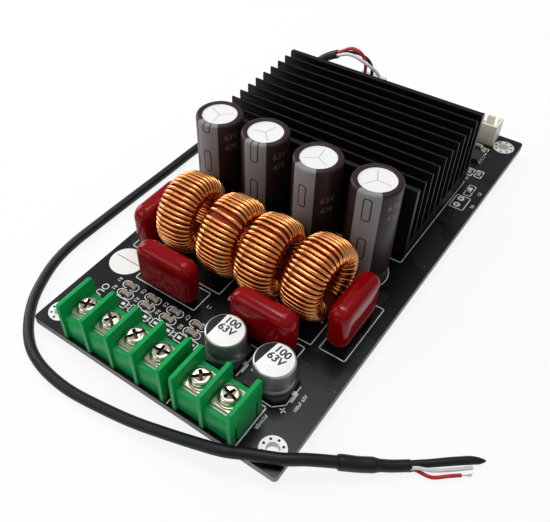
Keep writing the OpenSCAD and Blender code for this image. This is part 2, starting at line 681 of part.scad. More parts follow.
module cable_jacket() color(lead_black) cord(jacket_route, jacket_d, 8);
module red_wire() color([0.8, 0.1, 0.1]) cord(red_route, core_wire_d, 8);
module white_wire() color([0.9, 0.9, 0.9]) cord(white_route, core_wire_d, 8);
module black_wire() color(lead_black) cord(black_route, core_wire_d, 8);
module splice_sleeve() color(lead_black) shaped_cord(sleeve_route, sleeve_sizes, 8);
module shield_lead() color(lead_black) shaped_cord(
  shield_route, [for (r = [0.8, 0.8, 0.9, 0.95, 0.95, 0.8, 0.3]) [r, r]], 8
);
module white_tail() color([0.9, 0.9, 0.9]) cord(white_tail_route, 1, 8);
module red_tail() color([0.8, 0.1, 0.1]) shaped_cord(
  red_tail_route, [for (r = [0.5, 0.5, 0.5, 0.5, 0.45, 0.15]) [r, r]], 8
);

circuit_board();
heatsink();
heatsink_screws();
thermal_pad();
amplifier_chip();
regulator_chip();
chip_leads();
bulk_capacitor(0);  // bulk_capacitor_1
bulk_capacitor(1);  // bulk_capacitor_2
bulk_capacitor(2);  // bulk_capacitor_3
bulk_capacitor(3);  // bulk_capacitor_4
bulk_leads();
toroid_core(0);  // toroid_core_1
toroid_core(1);  // toroid_core_2
toroid_core(2);  // toroid_core_3
toroid_core(3);  // toroid_core_4
toroid_winding(0);  // toroid_winding_1
toroid_winding(1);  // toroid_winding_2
toroid_winding(2);  // toroid_winding_3
toroid_winding(3);  // toroid_winding_4
film_capacitor(0);  // film_capacitor_1
film_capacitor(1);  // film_capacitor_2
film_capacitor(2);  // film_capacitor_3
film_capacitor(3);  // film_capacitor_4
film_leads();
smd_can(0);  // smd_can_1
smd_can(1);  // smd_can_2
smd_base_block(0);  // smd_base_1
smd_base_block(1);  // smd_base_2
smd_tabs();
barrier_block(out_x, out_ways);  // output_terminal
barrier_block(power_x, power_ways);  // power_terminal
terminal_contacts();
terminal_screw(0);  // terminal_screw_1
terminal_screw(1);  // terminal_screw_2
terminal_screw(2);  // terminal_screw_3
terminal_screw(3);  // terminal_screw_4
terminal_screw(4);  // terminal_screw_5
terminal_screw(5);  // terminal_screw_6
clamp_washer(0);  // clamp_washer_1
clamp_washer(1);  // clamp_washer_2
clamp_washer(2);  // clamp_washer_3
clamp_washer(3);  // clamp_washer_4
clamp_washer(4);  // clamp_washer_5
clamp_washer(5);  // clamp_washer_6
header_shell(fan_spot, fan_pins);  // fan_header
header_shell(input_spot, input_pins);  // input_header
header_pins();
input_plug();
chip_bodies();
chip_ends();
solder_joints();
cable_jacket();
red_wire();
white_wire();
black_wire();
splice_sleeve();
shield_lead();
white_tail();
red_tail();
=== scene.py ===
"""Dressed model of a stereo audio amplifier board with its lead, on a pale floor."""
import logging
import math
import random
from dataclasses import dataclass
from enum import Enum
from typing import Any, Optional, Sequence, Union

import bmesh
import bpy
from mathutils import Matrix, Vector


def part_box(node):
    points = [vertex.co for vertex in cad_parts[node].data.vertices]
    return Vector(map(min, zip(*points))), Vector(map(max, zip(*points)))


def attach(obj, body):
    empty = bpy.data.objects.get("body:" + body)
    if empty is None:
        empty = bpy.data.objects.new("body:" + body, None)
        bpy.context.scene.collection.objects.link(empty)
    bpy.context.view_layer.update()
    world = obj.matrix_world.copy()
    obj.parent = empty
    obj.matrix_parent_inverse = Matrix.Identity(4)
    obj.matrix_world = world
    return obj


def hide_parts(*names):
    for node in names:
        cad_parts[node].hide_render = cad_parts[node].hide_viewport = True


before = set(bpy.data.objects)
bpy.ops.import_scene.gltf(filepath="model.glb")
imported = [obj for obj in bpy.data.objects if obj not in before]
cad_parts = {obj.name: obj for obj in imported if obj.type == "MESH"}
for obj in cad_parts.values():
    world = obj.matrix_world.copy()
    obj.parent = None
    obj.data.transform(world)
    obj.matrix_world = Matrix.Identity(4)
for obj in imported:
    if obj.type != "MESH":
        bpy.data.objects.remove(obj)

Colour = tuple[float, float, float, float]
Point = tuple[float, float, float]
Spot = tuple[float, float]

LOG = logging.getLogger("amplifier_board")
MADE: dict[str, bpy.types.Material] = {}
MM = 0.001
TURN = 2 * math.pi
# Distances in metres within which points are merged: of new shapes, and of copied CAD nodes
TINY = 1e-7
WELD = 1e-6
# The board's size, the height of its upper face above the floor and its print's line, in millimetres
BOARD_WIDTH = 73.0
BOARD_LENGTH = 138.0
DECK_TOP = 4.0
PRINT_LINE = 0.27

# Place on the board, direction of the stripe, height of a mark, turn of the vent and height of the value
BULK_CAPACITORS = (
    (12.8, 61.8, -87, 19.2, 39, 26.9),
    (27, 62.1, -82.6, 28.4, 75, 26.6),
    (43.2, 60.9, -93.2, 22.35, 95, 21.5),
    (58.7, 61.5, -80.4, 25.8, 117, 26.4),
)
# Place on the board, turn, angle where the turns of wire part, and how far
TOROIDS = (
    (16.4, 44.2, 3, None, 0),
    (30.4, 43.3, 1, 110, 4.6),
    (42.3, 42.9, 2, 94, 2.7),
    (55.5, 43.8, -3, 88, 2.0),
)
# Place on the board and turn
FILM_CAPACITORS = ((22.4, 26.7, 0), (50.8, 27.6, 0), (7.13, 42, 90), (65.87, 42.6, 90))
SURFACE_CANS = ((45.9, 19.4, -2), (59.5, 19.2, -8))
# Place on the board, length, width, height and turn: two rows by the terminals, then those at the right
TERMINAL_CHIPS = (
    (13.1, 21.8, 3.2, 1.6, 0.9, 0), (20.7, 21.8, 3.2, 1.6, 0.9, 0), (28, 21.8, 3.2, 1.6, 0.9, 0),
    (35.4, 21.8, 3.2, 1.6, 0.9, 0), (13.7, 19, 3.2, 1.6, 0.9, 0), (20.9, 19, 3.2, 1.6, 0.9, 0),
    (27.9, 19, 3.2, 1.6, 0.9, 0), (35.6, 19, 3.2, 1.6, 0.9, 0),
)
RIGHT_CHIPS = (
    (65.1, 115.5, 2, 1.25, 0.7, 90), (67.8, 115.8, 2, 1.25, 0.7, 90), (68.6, 107.2, 2, 1.25, 0.8, 90),
    (64.6, 127.3, 2, 1.25, 0.7, 90), (62.1, 128.4, 3.2, 1.6, 1.1, 0),
)


class Slot(str, Enum):
    """Material slots of the record."""

    BOARD = "board"
    HEATSINK = "heatsink_black"
    SCREW = "screw_nickel"
    PAD = "pad_grey"
    CHIP = "chip_black"
    TINNED = "tinned"
    SLEEVE = "sleeve_brown"
    CORE = "core_red"
    COPPER = "copper_enamel"
    FILM = "film_red"
    CAN = "can_silver"
    BASE = "base_black"
    GREEN = "terminal_green"
    IVORY = "ivory"
    CERAMIC = "chip_brown"
    JACKET = "jacket_black"
    RED = "wire_red"
    WHITE = "wire_white"


def tone(red: int, green: int, blue: int) -> Colour:
    """Turns a colour as it is seen on a screen into the shader's linear values.

    Args:
        red: Red part, 0 to 255.
        green: Green part, 0 to 255.
        blue: Blue part, 0 to 255.

    Returns:
        The linear colour with full alpha.
    """
    parts = []
    for part in (red, green, blue):
        level = part / 255
        parts.append(level / 12.92 if level <= 0.04045 else ((level + 0.055) / 1.055) ** 2.4)
    return parts[0], parts[1], parts[2], 1.0


def deck(x: float, y: float, z: float = 0.0) -> Vector:
    """Gives a place on the board.

    Args:
        x: Millimetres from the left edge.
        y: Millimetres from the front edge.
        z: Millimetres above the board's upper face.

    Returns:
        The place in the frame, in metres.
    """
    return Vector((x - BOARD_WIDTH / 2, y - BOARD_LENGTH / 2, z + DECK_TOP)) * MM


class Shade:
    """An output of a material's nodes that takes part in sums."""

    def __init__(self, sheet: "Sheet", socket: bpy.types.NodeSocket) -> None:
        """Wraps a socket of a sheet."""
        self.sheet = sheet
        self.socket = socket

    def _sum(self, operation: str, first: "Value", second: "Value") -> "Shade":
        """Adds one Math node."""
        return self.sheet.node("ShaderNodeMath", {"operation": operation}, {0: first, 1: second})

    def __add__(self, other: "Value") -> "Shade":
        """Sum."""
        return self._sum("ADD", self, other)

    def __radd__(self, other: "Value") -> "Shade":
        """Sum with a number on the left."""
        return self._sum("ADD", other, self)

    def __sub__(self, other: "Value") -> "Shade":
        """Difference."""
        return self._sum("SUBTRACT", self, other)

    def __rsub__(self, other: "Value") -> "Shade":
        """Difference with a number on the left."""
        return self._sum("SUBTRACT", other, self)

    def __mul__(self, other: "Value") -> "Shade":
        """Product."""
        return self._sum("MULTIPLY", self, other)

    def __rmul__(self, other: "Value") -> "Shade":
        """Product with a number on the left."""
        return self._sum("MULTIPLY", other, self)

    def __pow__(self, other: "Value") -> "Shade":
        """Power."""
        return self._sum("POWER", self, other)

    def __rpow__(self, other: "Value") -> "Shade":
        """Power with a number on the left."""
        return self._sum("POWER", other, self)

    def __abs__(self) -> "Shade":
        """Size without sign."""
        return self._sum("ABSOLUTE", self, 0.0)

    def most(self, other: "Value") -> "Shade":
        """The larger of this and the other."""
        return self._sum("MAXIMUM", self, other)

    def least(self, other: "Value") -> "Shade":
        """The smaller of this and the other."""
        return self._sum("MINIMUM", self, other)

    def wrapped(self, period: float) -> "Shade":
        """This value folded into one period around zero."""
        return self._sum("FLOORED_MODULO", self + period / 2, period) - period / 2

    def soft(self, low: float, high: float) -> "Shade":
        """A smooth step from 0 at low to 1 at high."""
        return self.sheet.node(
            "ShaderNodeMapRange",
            {"interpolation_type": "SMOOTHSTEP"},
            {"Value": self, "From Min": low, "From Max": high},
        )


Value = Union[Shade, float]


class Sheet:
    """The nodes of one material or world."""

    def __init__(self, owner: Union[bpy.types.Material, bpy.types.World]) -> None:
        """Empties the nodes of a material or a world.

        Args:
            owner: The material or world.
        """
        owner.use_nodes = True
        self.owner = owner
        self.tree = owner.node_tree
        self.tree.nodes.clear()

    def node(
        self,
        kind: str,
        settings: Optional[dict[str, Any]] = None,
        inputs: Optional[dict[Union[int, str], Any]] = None,
        output: Union[int, str] = 0,
    ) -> Shade:
        """Adds a node.

        Args:
            kind: The node's type.
            settings: Its properties, set first.
            inputs: Values or links of its sockets.
            output: The output that is handed back.

        Returns:
            That output, or the input of an end node, which has none.
        """
        made = self.tree.nodes.new(kind)
        for name, value in (settings or {}).items():
            setattr(made, name, value)
        for key, value in (inputs or {}).items():
            if isinstance(value, Shade):
                self.tree.links.new(value.socket, made.inputs[key])
            else:
                made.inputs[key].default_value = value
        return Shade(self, made.outputs[output] if made.outputs else made.inputs[0])

    def place(self) -> Shade:
        """The Object coordinates, in metres."""
        return self.node("ShaderNodeTexCoord", output="Object")

    def parts(self, vector: Shade) -> tuple[Shade, Shade, Shade]:
        """Splits a vector.

        Args:
            vector: The vector.

        Returns:
            Its three values.
        """
        first = self.node("ShaderNodeSeparateXYZ", inputs={0: vector})
        outs = first.socket.node.outputs
        return first, Shade(self, outs[1]), Shade(self, outs[2])

    def chart(self) -> tuple[Shade, Shade]:
        """The two values of the piece's own UV map."""
        u, v, _ = self.parts(self.node("ShaderNodeTexCoord", output="UV"))
        return u, v

    def noise(self, scale: float, detail: float = 3.0, stretch: Point = (1, 1, 1)) -> Shade:
        """Noise on Object coordinates.

        Args:
            scale: Features per metre.
            detail: Octaves.
            stretch: Scale along each axis.

        Returns:
            The noise, about 0 to 1.
        """
        where = self.node("ShaderNodeMapping", inputs={"Vector": self.place(), "Scale": stretch})
        return self.node(
            "ShaderNodeTexNoise", inputs={"Vector": where, "Scale": scale, "Detail": detail}
        )

    def blend(self, mask: Value, first: Any, second: Any) -> Shade:
        """Mixes two colours by a mask."""
        return self.node(
            "ShaderNodeMix", {"data_type": "RGBA"}, {0: mask, 6: first, 7: second}, output=2
        )

    def bump(self, height: Shade, strength: float, depth: float = 0.05) -> Shade:
        """Turns a height into a normal; depth is in millimetres."""
        return self.node(
            "ShaderNodeBump", inputs={"Strength": strength, "Distance": depth * MM, "Height": height}
        )

    def surface(self, inputs: dict[str, Any]) -> None:
        """Ends the sheet in one Principled surface."""
        shader = self.node("ShaderNodeBsdfPrincipled", inputs=inputs)
        self.node("ShaderNodeOutputMaterial", inputs={"Surface": shader})


@dataclass(frozen=True)
class Finish:
    """A mottled surface with a fine bump.

    Attributes:
        name: Name of the material.
        colour: Main colour.
        tint: Colour mottled into it.
        roughness: Middle of the roughness.
        spread: How far the roughness varies.
        grain: Mottles per metre.
        bump: Strength of the fine bump.
        metallic: Metallic value.
        coat: Clear coat.
        gloss: Specular level.
    """

    name: str
    colour: Colour
    tint: Colour
    roughness: float
    spread: float = 0.06
    grain: float = 500.0
    bump: float = 0.15
    metallic: float = 0.0
    coat: float = 0.0
    gloss: float = 0.5

    def material(self) -> bpy.types.Material:
        """Makes the material at its first use.

        Returns:
            The material.
        """
        if self.name not in MADE:
            MADE[self.name] = bpy.data.materials.new(self.name)
            self.paint(Sheet(MADE[self.name]))
        return MADE[self.name]

    def paint(self, sheet: Sheet) -> None:
        """Lays the finish on a sheet.

        Args:
            sheet: The material's nodes.
        """
        mottle = sheet.noise(self.grain, 4.0)
        fine = sheet.noise(self.grain * 5, 2.0)
        sheet.surface(
            {
                "Base Color": sheet.blend(mottle, self.colour, self.tint),
                "Roughness": (mottle - 0.5) * (2 * self.spread) + self.roughness,
                "Normal": sheet.bump(fine, self.bump),
                "Metallic": self.metallic,
                "Coat Weight": self.coat,
                "Specular IOR Level": self.gloss,
            }
        )


@dataclass(frozen=True)
class SolderMask(Finish):
    """Gloss black mask over copper areas and small plated vias."""

    def paint(self, sheet: Sheet) -> None:
        """Lays copper areas as slow patches and vias as a sparse set of dots.

        Args:
            sheet: The material's nodes.
        """
        pour = sheet.node(
            "ShaderNodeTexVoronoi", {"distance": "CHEBYCHEV"},
            {"Vector": sheet.place(), "Scale": 85.0}, output="Color",
        )
        patch = sheet.parts(pour)[0].soft(0.48, 0.52)
        cell = sheet.node("ShaderNodeTexVoronoi", inputs={"Vector": sheet.place(), "Scale": 310.0})
        via = (1 - cell.soft(0.07, 0.1)) * sheet.noise(60.0, 0.0).soft(0.56, 0.58)
        dust = sheet.noise(2600.0, 2.0)
        colour = sheet.blend(patch, self.colour, self.tint)
        sheet.surface(
            {
                "Base Color": sheet.blend(via * 0.4, colour, tone(120, 122, 120)),
                "Roughness": self.roughness + dust * 0.12 + patch * 0.05,
                "Normal": sheet.bump(patch * 0.7 + dust * 0.25, 0.35, 0.03),
                "Coat Weight": self.coat,
                "Specular IOR Level": self.gloss,
            }
        )


@dataclass(frozen=True)
class Sleeve(Finish):
    """Shrunk sleeve with a grey stripe of outlined marks; U runs round it, V up it, in millimetres.

    Attributes:
        stripe: Colour of the stripe.
        half: Half width of the stripe in millimetres.
        pitch: Distance between the marks in millimetres.
        mark: Half size of a mark across and along the stripe, without its rounding.
        rounding: Radius of a mark's corners in millimetres.
    """

    stripe: Colour = (0.4, 0.4, 0.4, 1)
    half: float = 3.15
    pitch: float = 12.3
    mark: Spot = (0.25, 2.5)
    rounding: float = 0.75

    def paint(self, sheet: Sheet) -> None:
        """Lays the brown, the stripe and the marks.

        Args:
            sheet: The material's nodes.
        """
        u, v = sheet.chart()
        mottle = sheet.noise(220.0, 4.0, (1, 1, 0.25))
        across = (abs(u) - self.mark[0]).most(0.0)
        along = (abs(v.wrapped(self.pitch)) - self.mark[1]).most(0.0)
        reach = (across * across + along * along) ** 0.5
        line = 1 - abs(reach - self.rounding).soft(0.12, 0.2)
        band = 1 - abs(u).soft(self.half - 0.06, self.half + 0.06)
        grey = sheet.blend(mottle, self.stripe, tone(128, 126, 128))
        brown = sheet.blend(mottle, self.colour, self.tint)
        colour = sheet.blend(band, brown, sheet.blend(line, grey, tone(40, 34, 34)))
        sheet.surface(
            {
                "Base Color": colour,
                "Roughness": self.roughness + mottle * 0.1 + band * 0.12,
                "Normal": sheet.bump(mottle, 0.3, 0.08),
                "Coat Weight": self.coat,
                "Specular IOR Level": self.gloss,
            }
        )


@dataclass(frozen=True)
class VentTop(Finish):
    """Bare can top with a three-way vent score whose grooves are painted darker grey as painted shade; U and
    V are millimetres from its middle.

    Attributes:
        ways: Number of score lines.
        reach: Where the lines begin and cease to fade, in millimetres from the middle.
    """

    ways: int = 3
    reach: Spot = (3.5, 3.8)

    def paint(self, sheet: Sheet) -> None:
        """Lays turned aluminium and the three score lines, whose grooves are painted darker grey as painted
        shade.

        Args:
            sheet: The material's nodes.
        """
        u, v = sheet.chart()
        reach = (u * u + v * v) ** 0.5
        score: Value = 0.0
        for spoke in range(self.ways):
            a = spoke * TURN / self.ways
            off = abs(u * -math.sin(a) + v * math.cos(a))
            ahead = (u * math.cos(a) + v * math.sin(a)).soft(-0.05, 0.05)
            score = (1 - off.soft(0.05, 0.15)) * ahead + score
        score = score.least(1.0) * (1 - reach.soft(*self.reach))
        turned = sheet.noise(900.0, 2.0)
        sheet.surface(
            {
                # The score lines darken the colour as well as the bump: painted shade in the grooves.
                "Base Color": sheet.blend(score * 0.6, self.colour, self.tint),
                "Roughness": self.roughness + turned * 0.12,
                "Normal": sheet.bump(turned * 0.1 - score, 0.6, 0.12),
                "Metallic": self.metallic,
                "Specular IOR Level": self.gloss,
            }
        )


@dataclass(frozen=True)
class CanTop(Finish):
    """Lacquered can top with a dark polarity segment; U and V are millimetres from its middle.

    Attributes:
        border: Where the segment starts and ends to fade, in millimetres along U.
    """

    border: Spot = (-2.44, -2.36)

    def paint(self, sheet: Sheet) -> None:
        """Lays the pale lacquer and the segment on the left.

        Args:
            sheet: The material's nodes.
        """
        u, _ = sheet.chart()
        mottle = sheet.noise(1500.0, 3.0)
        segment = 1 - u.soft(*self.border)
        sheet.surface(
            {
                "Base Color": sheet.blend(segment, self.colour, self.tint),
                "Roughness": self.roughness + mottle * 0.1,
                "Normal": sheet.bump(mottle, 0.12, 0.03),
                "Metallic": self.metallic,
                "Specular IOR Level": self.gloss,
            }
        )


@dataclass(frozen=True)
class Drawn(Finish):
    """Metal drawn along one axis, with fine lines.

    Attributes:
        stretch: Scale of the lines along each axis.
    """

    stretch: Point = (0.06, 1.0, 1.0)

    def paint(self, sheet: Sheet) -> None:
        """Lays fine lines along the drawn direction.

        Args:
            sheet: The material's nodes.
        """
        lines = sheet.noise(self.grain * 4, 3.0, self.stretch)
        mottle = sheet.noise(self.grain, 3.0)
        sheet.surface(
            {
                "Base Color": sheet.blend(mottle, self.colour, self.tint),
                "Roughness": (lines - 0.5) * (2 * self.spread) + self.roughness,
                "Normal": sheet.bump(lines, self.bump, 0.04),
                "Metallic": self.metallic,
                "Coat Weight": self.coat,
                "Specular IOR Level": self.gloss,
            }
        )


@dataclass(frozen=True)
class Palette:
    """Every finish of the board."""

    mask: Finish = SolderMask("mask_black", tone(11, 15, 18), tone(20, 25, 28), 0.2, gloss=0.26)
    edge: Finish = Finish("laminate_edge", tone(148, 147, 144), tone(112, 110, 107), 0.6)
    printed: Finish = Finish("print_white", tone(236, 237, 235), tone(216, 217, 215), 0.55)
    ring: Finish = Finish("plated_ring", tone(243, 243, 240), tone(224, 224, 220), 0.36, metallic=0.15)
    heatsink: Finish = Drawn(
        "anodised_black", tone(15, 17, 18), tone(9, 11, 12), 0.42, 0.08, bump=0.25, gloss=0.22
    )
    nickel: Finish = Finish("nickel_plate", tone(228, 222, 204), tone(192, 183, 160), 0.18, metallic=1.0)
    washer: Finish = Finish("washer_plate", tone(226, 218, 196), tone(196, 186, 160), 0.32, metallic=0.7)
    # Dark brown painted into the screws' drive recess: painted shade, since the recess is the same nickel.
    recess: Finish = Finish("recess_painted_shade", tone(74, 60, 44), tone(42, 34, 26), 0.5, metallic=0.3)
    tinned: Finish = Finish("tinned_metal", tone(224, 224, 222), tone(190, 190, 189), 0.3, metallic=0.45)
    solder: Finish = Finish("solder_fillet", tone(226, 222, 212), tone(192, 187, 176), 0.3, metallic=0.35)
    pad: Finish = Finish("soft_pad", tone(170, 174, 180), tone(150, 154, 160), 0.8)
    chip: Finish = Finish("moulded_epoxy", tone(30, 30, 31), tone(22, 22, 23), 0.55, bump=0.3)
    sleeve: Finish = Sleeve(
        "sleeve_brown", tone(56, 40, 41), tone(42, 29, 30), 0.3, gloss=0.2, stripe=tone(150, 149, 152)
    )
    # The vent's second colour is the darker grey of its score lines: painted shade in the grooves.
    vent: Finish = VentTop("vent_top", tone(248, 248, 246), tone(140, 140, 136), 0.3, metallic=0.1)
    bung: Finish = Finish("rubber_bung", tone(34, 33, 33), tone(24, 24, 24), 0.7)
    core: Finish = Finish("core_coat", tone(150, 56, 40), tone(120, 40, 28), 0.55, bump=0.35, gloss=0.05)
    copper: Finish = Finish(
        "enamelled_copper", tone(248, 176, 106), tone(226, 138, 72), 0.23,
        grain=90.0, bump=0.02, metallic=1.0, coat=0.45,
    )
    film: Finish = Finish(
        "dipped_red", tone(148, 0, 12), tone(124, 0, 7), 0.13, 0.03, grain=110.0, bump=0.05, gloss=0.2
    )
    can: Finish = Drawn(
        "can_silver", tone(190, 193, 192), tone(168, 171, 170), 0.3, metallic=0.7, stretch=(1.0, 1.0, 0.05)
    )
    can_top: Finish = CanTop("can_top", tone(248, 248, 247), tone(24, 26, 28), 0.36, gloss=0.25)
    base: Finish = Finish("base_black", tone(24, 24, 25), tone(18, 18, 19), 0.5, bump=0.25)
    ink: Finish = Finish("ink_black", tone(24, 24, 25), tone(34, 34, 35), 0.5)
    green: Finish = Finish(
        "moulded_green", tone(0, 165, 84), tone(0, 151, 76), 0.36, grain=240.0, bump=0.16, gloss=0.13
    )
    ivory: Finish = Finish("ivory_nylon", tone(245, 240, 225), tone(235, 228, 210), 0.42)
    lamp: Finish = Finish("lamp_resin", tone(246, 242, 222), tone(232, 226, 200), 0.3)
    ceramic: Finish = Finish("chip_ceramic", tone(158, 140, 120), tone(122, 108, 92), 0.5)
    jacket: Finish = Finish(
        "jacket_black", tone(22, 27, 30), tone(15, 19, 22), 0.42, 0.08, grain=260.0, bump=0.3, gloss=0.3
    )
    red: Finish = Finish("red_insulation", tone(196, 26, 34), tone(170, 18, 26), 0.35)
    white: Finish = Finish("white_insulation", tone(236, 236, 236), tone(214, 214, 216), 0.4)
    faint: Finish = Finish("sleeve_print", tone(122, 112, 110), tone(100, 90, 88), 0.45)
    paper: Finish = Finish("paper_white", tone(248, 248, 246), tone(238, 238, 236), 0.75)


PALETTE = Palette()


class Bench:
    """Makes pieces and hangs them on the frame."""

    @staticmethod
    def revolve(profile: Sequence[Spot], steps: int) -> bmesh.types.BMesh:
        """Spins a profile about the vertical.

        Args:
            profile: Radius and height of each point, in millimetres.
            steps: Steps of the full turn.

        Returns:
            The closed shape, in metres.
        """
        bm = bmesh.new()
        ring = [bm.verts.new((r * MM, 0.0, z * MM)) for r, z in profile]
        edges = [bm.edges.new(pair) for pair in zip(ring, ring[1:])]
        bmesh.ops.spin(
            bm, geom=ring + edges, cent=(0, 0, 0), axis=(0, 0, 1), angle=TURN, steps=steps, use_merge=True
        )
        bmesh.ops.remove_doubles(bm, verts=bm.verts[:], dist=TINY)
        bmesh.ops.dissolve_degenerate(bm, dist=TINY, edges=bm.edges[:])
        bmesh.ops.recalc_face_normals(bm, faces=bm.faces[:])
        return bm

    @staticmethod
    def flat_chart(bm: bmesh.types.BMesh, turn: float = 0.0) -> None:
        """Gives every face a UV map of its own X and Y in millimetres.

        Args:
            bm: The shape.
            turn: Turn of the map in radians.
        """
        layer = bm.loops.layers.uv.verify()
        turned = Matrix.Rotation(turn, 2)
        for face in bm.faces:
            for loop in face.loops:
                loop[layer].uv = turned @ (loop.vert.co.xy / MM)

    @staticmethod
    def piece(
        name: str,
        bm: bmesh.types.BMesh,
        finishes: Sequence[Finish],
        slot: Slot,
        body: str = "board",
        replaces: Sequence[str] = (),
        crease: float = 35.0,
    ) -> bpy.types.Object:
        """Turns a shape into a piece of the object.

        Args:
            name: Name of the piece.
            bm: The shape in its place; it is freed.
            finishes: Finishes in the order of the faces' material numbers.
            slot: The record's slot of the piece.
            body: The body that it rides on.
            replaces: CAD nodes that it stands for.
            crease: Angle in degrees past which an edge stays sharp.

        Returns:
            The new object.
        """
        mesh = bpy.data.meshes.new(name)
        bm.to_mesh(mesh)
        bm.free()
        for finish in finishes:
            mesh.materials.append(finish.material())
        if "custom_normal" in mesh.attributes:
            mesh.attributes.remove(mesh.attributes["custom_normal"])
        for face in mesh.polygons:
            face.use_smooth = True
        mesh.set_sharp_from_angle(angle=math.radians(crease))
        made = bpy.data.objects.new(name, mesh)
        bpy.context.scene.collection.objects.link(made)
        return Bench.hang(made, slot, body, replaces)

    @staticmethod
    def hang(
        made: bpy.types.Object, slot: Slot, body: str = "board", replaces: Sequence[str] = ()
    ) -> bpy.types.Object:
        """Sets a piece on its body and hides the CAD nodes that it stands for.

        Args:
            made: The piece.
            slot: Not used.
            body: The body that it rides on.
            replaces: CAD nodes that it stands for.

        Returns:
            The piece.
        """
        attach(made, body)
        if replaces:
            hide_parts(*replaces)
        LOG.info("piece %s on %s", made.name, body)
        return made

    @staticmethod
    def rounded(node: str, width: float, segments: int = 2) -> bmesh.types.BMesh:
        """Copies a CAD node and rounds its edges.

        Args:
            node: The CAD node.
            width: Width of the rounding in millimetres.
            segments: Steps of the rounding.

        Returns:
            The rounded shape.
        """
        bm = bmesh.new()
        bm.from_mesh(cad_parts[node].data)
        bmesh.ops.remove_doubles(bm, verts=bm.verts[:], dist=WELD)
        bmesh.ops.dissolve_limit(
            bm, angle_limit=math.radians(0.5), verts=bm.verts[:], edges=bm.edges[:]
        )
        steep = math.radians(30)
        sharp = [e for e in bm.edges if len(e.link_faces) == 2 and e.calc_face_angle(0.0) > steep]
        bmesh.ops.bevel(
            bm, geom=sharp, offset=width * MM, offset_type="OFFSET", segments=segments,
            profile=0.5, affect="EDGES", material=-1, clamp_overlap=True,
        )
        return bm

    @staticmethod
    def softened(
        node: str, finish: Finish, slot: Slot, width: float, body: str = "board"
    ) -> bpy.types.Object:
        """Makes the piece that stands for a CAD node, with its edges rounded by a width in millimetres."""
        bm = Bench.rounded(node, width)
        return Bench.piece(node + "_dressed", bm, [finish], slot, body, [node], 40.0)

    @staticmethod
    def dress(nodes: Sequence[str], finish: Finish) -> None:
        """Gives CAD nodes that keep their shape a finish.

        Args:
            nodes: The CAD nodes.
            finish: Their finish.
        """
        for node in nodes:
            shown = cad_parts[node]
            shown.data.materials.clear()
            shown.data.materials.append(finish.material())
            LOG.info("node %s keeps its shape", node)

    @staticmethod
    def tube(
        name: str, points: Sequence[Vector], radius: float, finish: Finish, sides: int = 2,
        taper: Optional[Sequence[float]] = None,
    ) -> bpy.types.Object:
        """Makes a round tube along points.

        Args:
            name: Name of the piece.
            points: The line in metres.
            radius: Radius in millimetres.
            finish: Finish of the tube.
            sides: Bevel resolution.
            taper: Share of the radius at each point.

        Returns:
            The curve object, not yet on a body.
        """
        line = bpy.data.curves.new(name, "CURVE")
        line.dimensions = "3D"
        line.bevel_depth = radius * MM
        line.bevel_resolution = sides
        line.use_fill_caps = True
        spline = line.splines.new("POLY")
        spline.points.add(len(points) - 1)
        for index, (spot, point) in enumerate(zip(spline.points, points)):
            spot.co = (*point, 1.0)
            spot.radius = taper[index] if taper else 1.0
        spline.use_smooth = True
        line.materials.append(finish.material())
        made = bpy.data.objects.new(name, line)
        bpy.context.scene.collection.objects.link(made)
        return made


def smooth_route(points: Sequence[Vector], steps: int) -> list[Vector]:
    """Runs a smooth line through points.

    Args:
        points: The points in order.
        steps: Steps between each pair.

    Returns:
        The denser line.
    """
    line: list[Vector] = []
    last = len(points) - 1
    for i in range(last):
        a, b, c, d = points[max(i - 1, 0)], points[i], points[i + 1], points[min(i + 2, last)]
        for s in range(steps):
            u = s / steps
            run = 2 * b + (c - a) * u
            bend = (2 * a - 5 * b + 4 * c - d) * u**2
            twist = (3 * b - a - 3 * c + d) * u**3
            line.append(0.5 * (run + bend + twist))
    return [*line, points[last].copy()]


